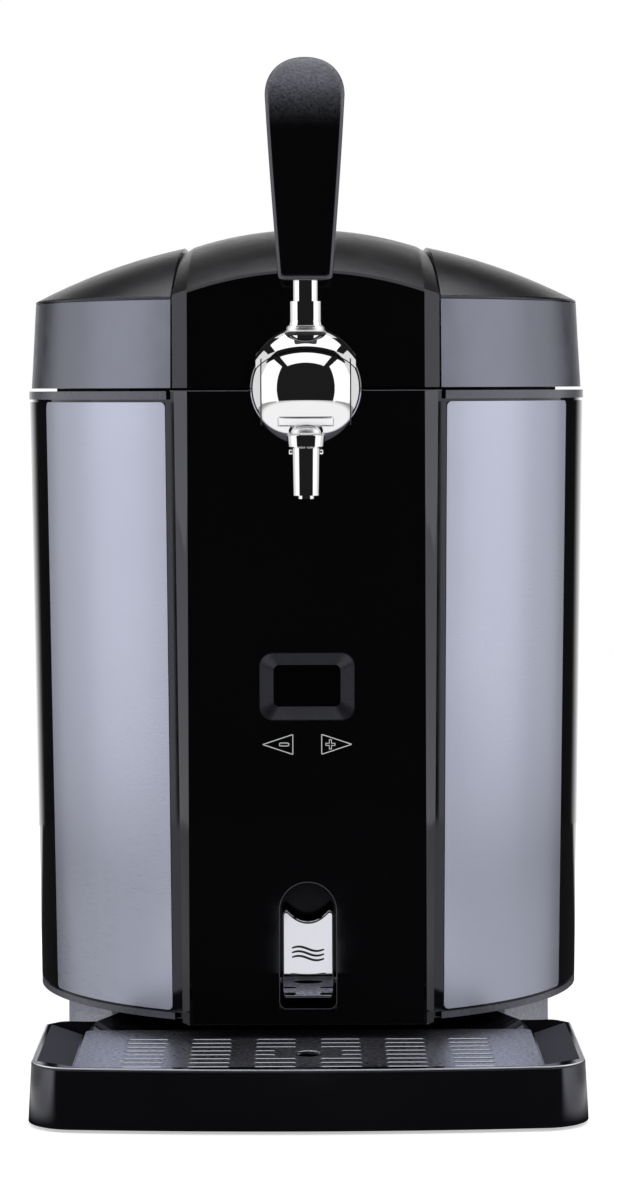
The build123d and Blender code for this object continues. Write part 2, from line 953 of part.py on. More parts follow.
with BuildPart() as drain_valve:
    add(rod_y(drain_valve_radius, valve_front_y, valve_back_y, 0, drain_z))
    add(
        rod_z(drain_spout_radius, drain_spout_end_z, drain_z, 0, drain_spout_y),
    )
    add(
        rod_z(drain_spout_bore, drain_spout_end_z - 1, drain_z, 0, drain_spout_y),
        mode=Mode.SUBTRACT,
    )
    add(
        rod_y(plunger_bore, drain_y + niche_back + 1.5, valve_back_y - 1.5, 0, drain_z),
        mode=Mode.SUBTRACT,
    )
    add(
        rod_y(
            plunger_rod_radius + running_fit, drain_y + niche_back - 1, valve_back_y - 3, 0, drain_z
        ),
        mode=Mode.SUBTRACT,
    )
    add(rod_y(drain_hose_bore, valve_back_y - 3, valve_back_y + 1, 0, drain_z), mode=Mode.SUBTRACT)

with BuildPart() as drain_hose:
    add(rod_y(drain_hose_radius, valve_back_y, axis_y - well_radius, 0, drain_z))
    add(
        rod_y(drain_hose_bore, valve_back_y - 1, axis_y - well_radius + 1, 0, drain_z),
        mode=Mode.SUBTRACT,
    )
    add(
        rod_z(well_outer + running_fit, drain_z - 10, drain_z + 10, 0, axis_y),
        mode=Mode.SUBTRACT,
    )

# ---------------------------------------------------------------- keg well and insulation

with BuildPart() as chamber_liner:
    add(
        turned(
            (0, well_foot_z),
            (well_outer, well_foot_z),
            (well_outer, deck_z - well_wall),
            (well_outer + well_flange, deck_z - well_wall),
            (well_outer + well_flange, deck_z),
            (well_radius, deck_z),
            (well_radius, well_foot_z + well_wall),
            (0, well_foot_z + well_wall),
        )
    )
    add(
        rod_y(drain_hose_bore, liner_front_y - 2, axis_y - well_radius + 4, 0, drain_z),
        mode=Mode.SUBTRACT,
    )

foam_foot_z = inner_foot_z + fit
foam_top_z = deck_z - well_wall - fit
cold_low_z = cooling_z - cold_block_height / 2
cold_high_z = cooling_z + cold_block_height / 2
sink_low_z = cooling_z - sink_height / 2
sink_high_z = cooling_z + sink_height / 2
sink_front_y = axis_y + cold_block_back + peltier_thickness
sink_back_y = sink_front_y + sink_base + fin_length

with BuildPart() as insulation_foam:
    add(
        turned(
            (0, foam_foot_z),
            (cabinet_inner(foam_foot_z) - fit, foam_foot_z),
            (cabinet_inner(foam_top_z) - fit, foam_top_z),
            (well_outer + fit, foam_top_z),
            (well_outer + fit, well_foot_z - fit),
            (0, well_foot_z - fit),
        )
    )
    add(
        tower(grow=1.0, depth=tower_depth + fit, low=cabinet_foot_z, high=seam_z),
        mode=Mode.SUBTRACT,
    )
    add(
        block(
            -cold_block_half - fit,
            cold_block_half + fit,
            axis_y + cold_block_front,
            rear_y,
            cold_low_z - fit,
            cold_high_z + fit,
        ),
        mode=Mode.SUBTRACT,
    )
    add(
        block(
            -sink_half - fit,
            sink_half + fit,
            sink_front_y - fit,
            rear_y,
            sink_low_z - fit,
            sink_high_z + fit,
        ),
        mode=Mode.SUBTRACT,
    )
    add(rod_y(drain_valve_radius + fit, drain_y + 5, valve_back_y + fit, 0, drain_z), mode=Mode.SUBTRACT)
    add(rod_y(drain_hose_radius + fit, drain_y, axis_y, 0, drain_z), mode=Mode.SUBTRACT)
    with BuildSketch(Plane.XY.offset(inner_foot_z)):
        with Locations(*foot_places):
            Circle(base_screw_head)
    extrude(amount=2, mode=Mode.SUBTRACT)

with BuildPart() as top_deck:
    add(
        turned(
            (well_radius, deck_z),
            (cabinet_inner(deck_z) - fit, deck_z),
            (cabinet_inner(deck_z) - fit, deck_z + deck_thickness),
            (well_radius, deck_z + deck_thickness),
        )
    )
    add(tower(grow=fit, low=cabinet_foot_z, high=seam_z), mode=Mode.SUBTRACT)

# ---------------------------------------------------------------- cooling unit

with BuildPart() as cold_block:
    add(
        block(
            -cold_block_half,
            cold_block_half,
            axis_y + cold_block_front,
            axis_y + cold_block_back,
            cold_low_z,
            cold_high_z,
        )
    )
    add(
        rod_z(well_outer + running_fit, cold_low_z - 1, cold_high_z + 1, 0, axis_y),
        mode=Mode.SUBTRACT,
    )

with BuildPart() as peltier_module:
    add(
        block(
            -peltier_half,
            peltier_half,
            axis_y + cold_block_back,
            sink_front_y,
            cooling_z - peltier_half,
            cooling_z + peltier_half,
        )
    )

fin_pitch = (2 * sink_half - fin_thickness) / (fin_count - 1)
with BuildPart() as heat_sink:
    add(
        block(-sink_half, sink_half, sink_front_y, sink_front_y + sink_base, sink_low_z, sink_high_z)
    )
    with BuildSketch(Plane.XY.offset(sink_low_z)):
        with Locations((0, sink_front_y + sink_base + fin_length / 2)):
            with GridLocations(fin_pitch, 1, fin_count, 1):
                Rectangle(fin_thickness, fin_length)
    extrude(amount=sink_height)

fan_front_y = sink_back_y + fan_gap
fan_back_y = fan_front_y + fan_depth
fan_back_plane = Plane.XZ.offset(-fan_back_y)
with BuildPart() as fan_frame:
    with BuildSketch(fan_back_plane):
        with Locations((0, cooling_z)):
            RectangleRounded(2 * fan_half, 2 * fan_half, 4)
            Circle(fan_bore, mode=Mode.SUBTRACT)
    extrude(amount=fan_depth)
    with BuildSketch(fan_back_plane):
        with Locations((0, cooling_z)):
            Circle(fan_hub_radius)
            with PolarLocations(fan_bore / 2 + 1, 3, start_angle=30):
                Rectangle(fan_bore, 3)
    extrude(amount=fan_plate)
    with BuildSketch(fan_back_plane):
        with Locations((0, cooling_z)):
            Circle(fan_shaft_radius)
    extrude(amount=fan_depth - 4)

rotor_back_y = fan_back_y - fan_plate - 0.5
rotor_front_y = fan_front_y + 1.5
with BuildPart() as fan_rotor:
    add(rod_y(fan_hub_radius, rotor_front_y, rotor_back_y, 0, cooling_z))
    rotor_middle_y = (rotor_front_y + rotor_back_y) / 2
    with Locations(Plane((0, rotor_middle_y, cooling_z), x_dir=(1, 0, 0), z_dir=(0, -1, 0))):
        with PolarLocations((fan_hub_radius + fan_blade_radius) / 2 - 0.5, fan_blade_count):
            Box(
                fan_blade_radius - fan_hub_radius + 1,
                fan_blade_thickness,
                rotor_back_y - rotor_front_y - fan_blade_margin,
                rotation=(fan_blade_pitch, 0, 0),
            )
    add(
        rod_y(
            fan_shaft_radius + running_fit, rotor_front_y + 2, rotor_back_y + 1, 0, cooling_z
        ),
        mode=Mode.SUBTRACT,
    )

# ---------------------------------------------------------------- rear housing

cabinet_cone = turned(
    (0, 0),
    (cabinet_radius(0) + running_fit, 0),
    (cabinet_radius(seam_z) + running_fit, seam_z),
    (0, seam_z),
)
housing_screw_places = [
    (side * housing_screw_x, z)
    for side in (-1, 1)
    for z in (housing_screw_low_z, housing_screw_high_z)
]
housing_front_y = axis_y + well_radius
vent_y = (axis_y + cabinet_radius_seam + rear_y - housing_corner) / 2 - 4


def housing_block(inset, front):
    with BuildPart() as solid:
        add(
            block(
                -housing_half + inset,
                housing_half - inset,
                front,
                rear_y - inset,
                housing_foot_z + inset,
                housing_top_z - inset,
            )
        )
        rear_edges = solid.edges().filter_by(Axis.Z).group_by(Axis.Y)[-1]
        fillet(rear_edges, radius=housing_corner - inset)
    return solid.part


with BuildPart() as rear_housing:
    add(housing_block(0, housing_front_y))
    add(housing_block(housing_wall, housing_front_y - 1), mode=Mode.SUBTRACT)
    with BuildSketch(Plane.XZ.offset(-rear_y)):
        with Locations(*housing_screw_places):
            Circle(screw_boss_radius)
    extrude(amount=rear_y - housing_front_y)
    add(cabinet_cone, mode=Mode.SUBTRACT)
    with BuildSketch(Plane.XZ.offset(-rear_y)):
        with Locations(*housing_screw_places):
            Circle(screw_radius + running_fit)
    extrude(amount=screw_length, mode=Mode.SUBTRACT)
    with BuildSketch(Plane.XZ.offset(-rear_y)):
        with Locations(*housing_screw_places):
            Circle(screw_head_radius + 0.1)
    extrude(amount=screw_head_height + 0.2, mode=Mode.SUBTRACT)
    with BuildSketch(Plane.XZ.offset(-rear_y - 1)):
        with Locations((0, cooling_z)):
            Circle(grille_radius)
        with Locations((inlet_x, inlet_z)):
            RectangleRounded(inlet_width + 0.3, inlet_height + 0.3, 3)
        with Locations((rocker_x, inlet_z)):
            Rectangle(rocker_width + 1, rocker_hole_height)
    extrude(amount=housing_wall + 2, mode=Mode.SUBTRACT)
    with BuildSketch(Plane.YZ.offset(-housing_half - 1)):
        with Locations((vent_y, cooling_z)):
            with GridLocations(1, side_vent_pitch, 1, side_vent_count):
                SlotOverall(side_vent_length, side_vent_height)
    extrude(amount=2 * housing_half + 2, mode=Mode.SUBTRACT)
    with BuildSketch(Plane.XY.offset(housing_foot_z + housing_wall)):
        with Locations((0, rear_y - housing_wall - board_depth / 2 - 4)):
            with GridLocations(2 * board_half - 8, board_depth - 8, 2, 2):
                Circle(2.5)
    extrude(amount=board_z - housing_foot_z - housing_wall)

with BuildPart() as rear_grille:
    with BuildSketch(Plane.XZ.offset(-rear_y + 0.3)):
        with Locations((0, cooling_z)):
            Circle(grille_radius - 0.15)
            Circle(grille_radius - grille_rim, mode=Mode.SUBTRACT)
    extrude(amount=grille_thickness)
    with BuildSketch(Plane.XZ.offset(-rear_y + 0.3)) as bars:
        with Locations((0, cooling_z)):
            with GridLocations(grille_pitch, 1, 8, 1):
                Rectangle(grille_bar, 2 * grille_radius)
            Rectangle(2 * grille_radius, grille_bar)
            Circle(grille_radius - 0.5, mode=Mode.INTERSECT)
    extrude(amount=grille_thickness)

with BuildPart() as housing_screws:
    with BuildSketch(Plane.XZ.offset(-rear_y + 0.2)):
        with Locations(*housing_screw_places):
            Circle(screw_head_radius)
    extrude(amount=screw_head_height)
    with BuildSketch(Plane.XZ.offset(-rear_y + 0.2)):
        with Locations(*housing_screw_places):
            Circle(screw_radius)
    extrude(amount=screw_length - 1)

board_front_y = rear_y - housing_wall - 4 - board_depth
with BuildPart() as power_board:
    add(
        block(
            -board_half,
            board_half,
            board_front_y,
            board_front_y + board_depth,
            board_z,
            board_z + board_thickness,
        )
    )
    add(
        block(
            -transformer_size / 2,
            transformer_size / 2,
            board_front_y + board_edge,
            board_front_y + board_edge + transformer_size,
            board_z,
            board_z + transformer_height,
        )
    )
    for place in (1, 2):
        x = -transformer_size / 2 - place * capacitor_pitch
        add(rod_z(capacitor_radius, board_z, board_z + capacitor_height, x, board_front_y + 2 * board_edge))
    add(
        block(
            board_half - board_edge - cooler_thickness,
            board_half - board_edge,
            board_front_y + board_edge,
            board_front_y + board_edge + transformer_size,
            board_z,
            board_z + capacitor_height,
        )
    )

inlet_front_y = rear_y - inlet_depth
inlet_face_plane = Plane.XZ.offset(-rear_y + 0.1)
with BuildPart() as power_inlet:
    with BuildSketch(inlet_face_plane):
        with Locations((inlet_x, inlet_z)):
            RectangleRounded(inlet_width, inlet_height, 3)
    extrude(amount=inlet_depth)
    with BuildSketch(inlet_face_plane):
        with Locations((inlet_x, inlet_z)):
            RectangleRounded(inlet_width - 2 * inlet_wall, inlet_height - 2 * inlet_wall, 2)
    extrude(amount=inlet_depth - inlet_floor, mode=Mode.SUBTRACT)
    with BuildSketch(Plane.XZ.offset(-inlet_front_y - inlet_floor + 1)):
        with Locations(
            (inlet_x - 7, inlet_z - 2), (inlet_x, inlet_z + 3), (inlet_x + 7, inlet_z - 2)
        ):
            Rectangle(2, 4)
    extrude(amount=-inlet_pin_length)

rocker_pivot_y = rear_y - 11.5
rocker_tilt = radians(rocker_travel / 2)
rocker_plane = Plane(
    (rocker_x - rocker_width / 2, rocker_pivot_y, inlet_z),
    x_dir=(0, cos(rocker_tilt), sin(rocker_tilt)),
    z_dir=(1, 0, 0),
)
with BuildPart() as rocker_switch:
    with BuildSketch(rocker_plane):
        with BuildLine():
            Polyline(
                (-3, -rocker_height / 2 + 2),
                (8.0, -rocker_height / 2),
                (10.0, 0),
                (8.0, rocker_height / 2),
                (-3, rocker_height / 2 - 2),
                close=True,
            )
        make_face()
    extrude(amount=rocker_width)
    add(
        rod_x(
            rocker_stub_radius,
            rocker_x - rocker_width / 2 - rocker_stub_length,
            rocker_x + rocker_width / 2 + rocker_stub_length,
            rocker_pivot_y,
            inlet_z,
        )
    )

# ---------------------------------------------------------------- lid

dome_centre_z = dome_top_z - dome_radius


def lid_profile(inset):
    """Half profile of the lid under its dome and inside its wall, by inset."""
    wall_top = lid_radius(lid_crease_z) - inset
    crease_z = dome_z(wall_top, inset)
    with BuildSketch(profile_plane) as profile:
        with BuildLine():
            Polyline(
                (0, dome_top_z - inset),
                (0, lid_foot_z - (1 if inset else 0)),
                (lid_radius_foot - inset, lid_foot_z - (1 if inset else 0)),
                (wall_top, crease_z),
            )
            RadiusArc((wall_top, crease_z), (0, dome_top_z - inset), inset - dome_radius)
        make_face()
        crease = profile.vertices().sort_by(Axis.Y)[-2]
        fillet(crease, lid_crease_radius)
    return profile.sketch


def lid_solid(inset):
    with BuildPart() as solid:
        add(lid_profile(inset))
        revolve(axis=body_axis)
    return solid.part


spine_front_y = axis_y - lid_radius_foot
spine_back_y = axis_y + spine_rear_reach


def spine_column(grow, low=lid_foot_z, back=spine_back_y):
    """Upright prism in plan of the lid's spine."""
    with BuildPart() as solid:
        add(
            tower_outline(
                low,
                spine_front_y,
                tower_flat_half,
                spine_edge_half,
                back,
                spine_edge_half_rear,
                grow,
            )
        )
        extrude(amount=spine_top_z + 20 - low)
    return solid.part


def spine_crown(drop):
    """Crowned block swept over the lid from front to back."""
    side_z = spine_top_z - spine_crown_radius + sqrt(
        spine_crown_radius**2 - tower_flat_half**2
    )
    low = 270.0
    sweep_axis = Axis((0, axis_y, spine_top_z - spine_sweep_radius), (1, 0, 0))
    with BuildPart() as solid:
        with BuildSketch(profile_plane) as section:
            with BuildLine():
                ThreePointArc(
                    (-tower_flat_half, side_z - drop),
                    (0, spine_top_z - drop),
                    (tower_flat_half, side_z - drop),
                )
                Polyline(
                    (tower_flat_half, side_z - drop),
                    (spine_edge_half + 1, side_z - drop - spine_bevel_drop),
                    (spine_edge_half + 1, low),
                    (-spine_edge_half - 1, low),
                    (-spine_edge_half - 1, side_z - drop - spine_bevel_drop),
                    (-tower_flat_half, side_z - drop),
                )
            make_face()
        revolve(axis=sweep_axis, revolution_arc=40)
        revolve(section.sketch, axis=sweep_axis, revolution_arc=-40)
    return solid.part


def below_spine(radius):
    """Room under the spine's skirts, out to a radius."""
    top = dome_z(0) - spine_skirt - lid_wall
    fall = (dome_z(0) - dome_z(spine_front_zone)) / spine_front_zone
    return turned(
        (0, lid_foot_z - 1), (radius, lid_foot_z - 1), (radius, top - fall * radius), (0, top)
    )


shank_room = rod_y(
    nut_radius + 1.2, spine_front_y + spine_wall / 2, axis_y - spine_front_zone, 0, tap_z
)

with BuildPart() as lid_spine:
    add(spine_column(0.0))
    add(spine_crown(0.0), mode=Mode.INTERSECT)
    spine_brow = lid_spine.edges().filter_by(
        lambda edge: edge.center().Z > lid_crease_z
        and edge.bounding_box().max.Y < spine_front_y + 1.5 * tower_bevel
    )
    chamfer(spine_brow, length=spine_edge)
    with BuildPart(mode=Mode.PRIVATE) as spine_hollow:
        add(spine_column(-spine_wall, low=lid_foot_z - 1))
        add(spine_crown(spine_wall), mode=Mode.INTERSECT)
    add(spine_hollow.part, mode=Mode.SUBTRACT)
    add(below_spine(spine_front_zone), mode=Mode.SUBTRACT)
    with BuildPart(mode=Mode.PRIVATE) as rear_zone:
        add(below_spine(cabinet_radius_seam))
        add(
            block(
                -cabinet_radius_seam,
                cabinet_radius_seam,
                axis_y - spine_front_zone / 2,
                rear_y,
                lid_foot_z - 2,
                spine_top_z,
            ),
            mode=Mode.INTERSECT,
        )
    add(rear_zone.part, mode=Mode.SUBTRACT)
    add(shank_notch, mode=Mode.SUBTRACT)
    add(shank_room, mode=Mode.SUBTRACT)

lid_band_top_z = lid_crease_z - lid_band_drop


def lid_skin(drop, low, high, outer=0.0):
    """Ring on the lid's wall, drop thick."""
    return turned(
        (lid_radius(low) - drop, low),
        (lid_radius(low) + outer, low),
        (lid_radius(high) + outer, high),
        (lid_radius(high) - drop, high),
    )


with BuildPart() as lid_shell:
    add(lid_solid(0.0))
    add(lid_solid(lid_wall), mode=Mode.SUBTRACT)
    add(
        lid_skin(
            lid_band_thickness + running_fit,
            lid_foot_z - 1,
            lid_band_top_z + lid_band_gap,
            outer=lid_wall,
        ),
        mode=Mode.SUBTRACT,
    )
    add(spine_column(spine_slot_gap, low=lid_foot_z - 1), mode=Mode.SUBTRACT)

with BuildPart() as lid_band:
    add(lid_skin(lid_band_thickness, lid_foot_z, lid_band_top_z))
    add(spine_column(spine_slot_gap, low=lid_foot_z - 1), mode=Mode.SUBTRACT)

ring_thickness = 2.5
with BuildPart() as lid_liner:
    add(
        turned(
            (0, pan_top_z),
            (pan_radius, pan_top_z),
            (pan_radius, liner_ring_z),
            (lid_radius_foot - lid_wall - fit, liner_ring_z),
            (lid_radius_foot - lid_wall - fit, liner_ring_z + ring_thickness),
            (pan_radius + pan_wall, liner_ring_z + ring_thickness),
            (pan_radius + pan_wall, pan_top_z + pan_wall),
            (0, pan_top_z + pan_wall),
        )
    )
    with BuildPart(mode=Mode.PRIVATE) as spine_front_room:
        add(spine_column(fit, low=lid_foot_z - 1))
        add(
            rod_z(spine_front_zone - fit, lid_foot_z - 2, spine_top_z + 40, 0, axis_y),
            mode=Mode.SUBTRACT,
        )
        add(
            block(
                -cabinet_radius_seam,
                cabinet_radius_seam,
                axis_y - spine_front_zone / 2,
                rear_y,
                lid_foot_z - 2,
                spine_top_z + 40,
            ),
            mode=Mode.SUBTRACT,
        )
    add(spine_front_room.part, mode=Mode.SUBTRACT)

foam_outer = spine_front_zone - fit
lid_foam_top_z = dome_z(0) - spine_skirt - lid_wall - fit
lid_foam_side_z = dome_z(spine_front_zone) - spine_skirt - lid_wall - fit
with BuildPart() as lid_foam:
    add(
        turned(
            (0, pan_top_z + pan_wall + fit),
            (pan_radius + pan_wall + fit, pan_top_z + pan_wall + fit),
            (pan_radius + pan_wall + fit, liner_ring_z + ring_thickness + fit),
            (foam_outer, liner_ring_z + ring_thickness + fit),
            (foam_outer, lid_foam_side_z),
            (0, lid_foam_top_z),
        )
    )

with BuildPart() as lid_seal:
    add(
        turned(
            (seal_inner_radius, deck_z + deck_thickness + fit),
            (seal_inner_radius + seal_width, deck_z + deck_thickness + fit),
            (seal_inner_radius + seal_width, liner_ring_z),
            (seal_inner_radius, liner_ring_z),
        )
    )

# ---------------------------------------------------------------- lid hinge

hinge_y = axis_y + hinge_reach
hinge_foot_low_z = panel_high_z - hinge_foot_gap - hinge_foot_height
with BuildPart() as hinge_bracket:
    add(
        block(
            -hinge_half_width,
            hinge_half_width,
            axis_y + well_radius,
            hinge_y + hinge_knuckle_radius,
            hinge_foot_low_z,
            hinge_foot_low_z + hinge_foot_height,
        )
    )
    for side in (-1, 1):
        outer = side * hinge_half_width
        inner = side * (hinge_leaf_half + hinge_gap)
        low, high = sorted((inner, outer))
        add(
            block(
                low,
                high,
                hinge_y - hinge_knuckle_radius,
                hinge_y + hinge_knuckle_radius,
                hinge_foot_low_z,
                hinge_z,
            )
        )
        add(rod_x(hinge_knuckle_radius, low, high, hinge_y, hinge_z))
    hinge_foot_edges = hinge_bracket.edges().group_by(Axis.Z)[0]
    fillet(hinge_foot_edges.filter_by(Axis.Y) + hinge_foot_edges.filter_by(Axis.X), radius=hinge_edge)
    add(cabinet_cone, mode=Mode.SUBTRACT)
    add(
        rod_x(
            hinge_pin_radius + 0.02, -hinge_half_width - 1, hinge_half_width + 1, hinge_y, hinge_z
        ),
        mode=Mode.SUBTRACT,
    )

with BuildPart() as hinge_pin:
    add(rod_x(hinge_pin_radius, -hinge_half_width, hinge_half_width, hinge_y, hinge_z))

lid_cone = turned(
    (0, lid_foot_z - 20),
    (lid_radius(lid_foot_z - 20) + running_fit, lid_foot_z - 20),
    (lid_radius(lid_crease_z) + running_fit, lid_crease_z),
    (0, lid_crease_z),
)
with BuildPart() as hinge_leaf:
    add(rod_x(hinge_knuckle_radius, -hinge_leaf_half, hinge_leaf_half, hinge_y, hinge_z))
    add(
        block(
            -hinge_leaf_half,
            hinge_leaf_half,
            hinge_y - hinge_knuckle_radius - hinge_plate,
            hinge_y - hinge_knuckle_radius + hinge_plate,
            hinge_z,
            hinge_z + hinge_plate_height,
        )
    )
    add(
        block(
            -hinge_leaf_half,
            hinge_leaf_half,
            axis_y + well_radius,
            hinge_y - hinge_knuckle_radius,
            hinge_z + hinge_arm_drop,
            hinge_z + hinge_plate_height,
        )
    )
    leaf_top_edges = hinge_leaf.edges().group_by(Axis.Z)[-1]
    fillet(leaf_top_edges.filter_by(Axis.Y) + leaf_top_edges.filter_by(Axis.X), radius=hinge_edge)
    add(lid_cone, mode=Mode.SUBTRACT)
    add(
        rod_x(
            hinge_pin_radius + running_fit, -hinge_half_width, hinge_half_width, hinge_y, hinge_z
        ),
        mode=Mode.SUBTRACT,
    )

# ---------------------------------------------------------------- tap

tap_y = front_y(seam_z) - tap_reach
flange_back_y = front_y(seam_z) - running_fit
flange_front_y = flange_back_y - flange_thickness
shank_front_y = tap_y + ball_radius + 0.2
visor_inner = ball_radius + visor_clearance
visor_outer = visor_inner + visor_wall


def ball(radius, x_low=None, x_high=None):
    """Ball round the tap's centre, or its slice between two X planes."""
    low = -radius if x_low is None else x_low
    high = radius if x_high is None else x_high
    low_radius = sqrt(max(radius**2 - low**2, 0.0))
    high_radius = sqrt(max(radius**2 - high**2, 0.0))
    middle = (low + high) / 2
    plane = Plane((0, tap_y, tap_z))
    with BuildPart() as solid:
        with BuildSketch(plane):
            with BuildLine():
                ThreePointArc(
                    (low, low_radius), (middle, sqrt(radius**2 - middle**2)), (high, high_radius)
                )
                if high_radius > 0:
                    Line((high, high_radius), (high, 0))
                Line((high, 0), (low, 0))
                if low_radius > 0:
                    Line((low, 0), (low, low_radius))
            make_face()
        revolve(axis=Axis((0, tap_y, tap_z), (1, 0, 0)))
    return solid.part


def lever_wedge(angle_front, angle_back, half, reach, root=0.0):
    """Wedge about the tap's X axis, angles from straight up, root is its half width there."""
    front = radians(angle_front)
    back = radians(angle_back)
    plane = Plane((-half, tap_y, tap_z), x_dir=(0, 1, 0), z_dir=(1, 0, 0))
    with BuildPart() as solid:
        with BuildSketch(plane):
            with BuildLine():
                Polyline(
                    (root * cos(back), -root * sin(back)),
                    (-root * cos(front), -root * sin(front)),
                    (-reach * sin(front) - root * cos(front), reach * cos(front) - root * sin(front)),
                    (reach * (sin(back) - sin(front)) / 2, reach * 1.6),
                    (reach * sin(back) + root * cos(back), reach * cos(back) - root * sin(back)),
                    close=True,
                )
            make_face()
        extrude(amount=2 * half)
    return solid.part


spout_y = tap_y - spout_offset
outlet_top = Vector(0, tap_y + 8, tap_z - 2)
outlet_foot = Vector(0, spout_y, spout_dome_z)
outlet_length = (outlet_foot - outlet_top).length
outlet_plane = Plane(outlet_top, x_dir=(1, 0, 0), z_dir=outlet_foot - outlet_top)
recess_middle_z = tap_z - (recess_low_z + recess_high_z) / 2
recess_reach = ball_radius + 1 - sqrt(ball_radius**2 - recess_middle_z**2) + recess_depth

with BuildPart() as tap_body:
    add(ball(ball_radius, -ball_band_half, ball_band_half))
    add(rod_y(neck_radius, tap_y, flange_front_y, 0, tap_z))
    add(
        lever_wedge(
            lever_travel + 1, 1, tap_slot_half, 2 * ball_radius, root=tongue_thickness / 2 + fit
        ),
        mode=Mode.SUBTRACT,
    )
    add(
        rod_x(tap_cavity_radius, -tap_slot_half, tap_slot_half, tap_y, tap_z),
        mode=Mode.SUBTRACT,
    )
    add(
        rod_x(tap_axle_radius + 0.02, -ball_band_half, ball_band_half, tap_y, tap_z),
        mode=Mode.SUBTRACT,
    )
    add(rod_y(tap_bore_radius, tap_y, shank_front_y + 1, 0, tap_z), mode=Mode.SUBTRACT)
    add(rod_y(shank_radius + 0.02, shank_front_y, flange_front_y + 1, 0, tap_z), mode=Mode.SUBTRACT)
    with BuildSketch(outlet_plane):
        Circle(nozzle_bore)
    extrude(amount=outlet_length, mode=Mode.SUBTRACT)
    add(
        rod_z(spout_dome_radius + 0.02, spout_dome_z - 20, spout_dome_top_z, 0, spout_y),
        mode=Mode.SUBTRACT,
    )
    with BuildSketch(Plane.XZ.offset(-tap_y + ball_radius + 1)):
        with Locations((0, (recess_low_z + recess_high_z) / 2)):
            Rectangle(2 * recess_half, recess_high_z - recess_low_z)
    extrude(amount=-recess_reach, mode=Mode.SUBTRACT)

with BuildPart() as tap_cap_left:
    add(ball(ball_radius, x_high=-ball_band_half))

with BuildPart() as tap_cap_right:
    add(ball(ball_radius, x_low=ball_band_half))

with BuildPart() as tap_axle:
    add(rod_x(tap_axle_radius, -ball_band_half + 0.1, ball_band_half - 0.1, tap_y, tap_z))

tongue_top = visor_inner + visor_wall / 4
stem_y = tap_y - stem_offset
with BuildPart() as tap_visor:
    add(ball(visor_outer, -visor_half, visor_half))
    add(ball(visor_inner), mode=Mode.SUBTRACT)
    add(
        lever_wedge(visor_front_angle, visor_rear_angle, visor_half + 1, 2 * visor_outer, root=0.01),
        mode=Mode.INTERSECT,
    )
    with BuildPart(mode=Mode.PRIVATE) as collar_seat:
        add(rod_z(collar_seat_radius, tap_z, tap_z + 2 * visor_outer, 0, stem_y))
        add(ball(visor_outer - collar_seat_depth), mode=Mode.SUBTRACT)
    add(collar_seat.part, mode=Mode.SUBTRACT)
    with BuildSketch(Plane.XY.offset(tap_z)):
        with Locations((0, tap_y)):
            Rectangle(2 * tongue_half, tongue_thickness)
    extrude(amount=tongue_top)
    add(rod_x(tap_cavity_radius - 0.9, -tongue_half, tongue_half, tap_y, tap_z))
    add(
        rod_x(tap_axle_radius + running_fit, -tongue_half - 1, tongue_half + 1, tap_y, tap_z),
        mode=Mode.SUBTRACT,
    )

with BuildPart() as tap_collar:
    add(rod_z(bowl_radius, bowl_z - 2, washer_z, 0, stem_y, top_radius=bowl_top_radius))
    add(rod_z(washer_radius, washer_z, collar_z, 0, stem_y))
    add(rod_z(collar_foot_radius, collar_z, collar_z + 2.5, 0, stem_y, top_radius=collar_radius))
    add(rod_z(collar_radius, collar_z + 2.5, collar_top_z, 0, stem_y))
    add(ball(visor_outer - collar_seat_depth + 0.02), mode=Mode.SUBTRACT)

with BuildPart() as tap_stem:
    add(rod_z(stem_radius, collar_top_z, stem_top_z, 0, stem_y))

with BuildPart() as tap_handle:
    with BuildSketch(Plane.XZ.offset(-stem_y + handle_depth_room)):
        with BuildLine():
            Polyline(
                (-handle_side_half, handle_side_z),
                (-handle_foot_half, stem_top_z),
                (handle_foot_half, stem_top_z),
                (handle_side_half, handle_side_z),
            )
            Line((handle_side_half, handle_side_z), (handle_widest_half, handle_widest_z))
            ThreePointArc(
                (handle_widest_half, handle_widest_z),
                (handle_widest_half - 1.0, (handle_widest_z + handle_shoulder_z) / 2 + 0.6),
                (handle_shoulder_half, handle_shoulder_z),
            )
            ThreePointArc(
                (handle_shoulder_half, handle_shoulder_z),
                (0, handle_top_z),
                (-handle_shoulder_half, handle_shoulder_z),
            )
            ThreePointArc(
                (-handle_shoulder_half, handle_shoulder_z),
                (-handle_widest_half + 1.0, (handle_widest_z + handle_shoulder_z) / 2 + 0.6),
                (-handle_widest_half, handle_widest_z),
            )
            Line((-handle_widest_half, handle_widest_z), (-handle_side_half, handle_side_z))
        make_face()
    extrude(amount=-2 * handle_depth_room)
    with BuildSketch(Plane((-2 * handle_widest_half, stem_y, 0), x_dir=(0, 1, 0), z_dir=(1, 0, 0))):
        with BuildLine():
            Polyline(
                (-handle_front_top, handle_curve_z),
                (-handle_front_foot, stem_top_z - 1),
                (handle_back_foot, stem_top_z - 1),
                (handle_back_top, handle_curve_z + 18),
                (handle_back_top - 4, handle_top_z + 1),
                (1, handle_top_z + 1),
            )
            ThreePointArc(
                (1, handle_top_z + 1),
                (-handle_front_top + 3.0, handle_curve_z + 17),
                (-handle_front_top, handle_curve_z),
            )
        make_face()
    extrude(amount=4 * handle_widest_half, mode=Mode.INTERSECT)
    fillet(tap_handle.edges(), radius=handle_edge)

plunger_travel = 3.5
with BuildPart() as valve_plunger:
    add(rod_y(tap_bore_radius - 0.08, tap_y + 9.5, tap_y + 20.5, 0, tap_z))

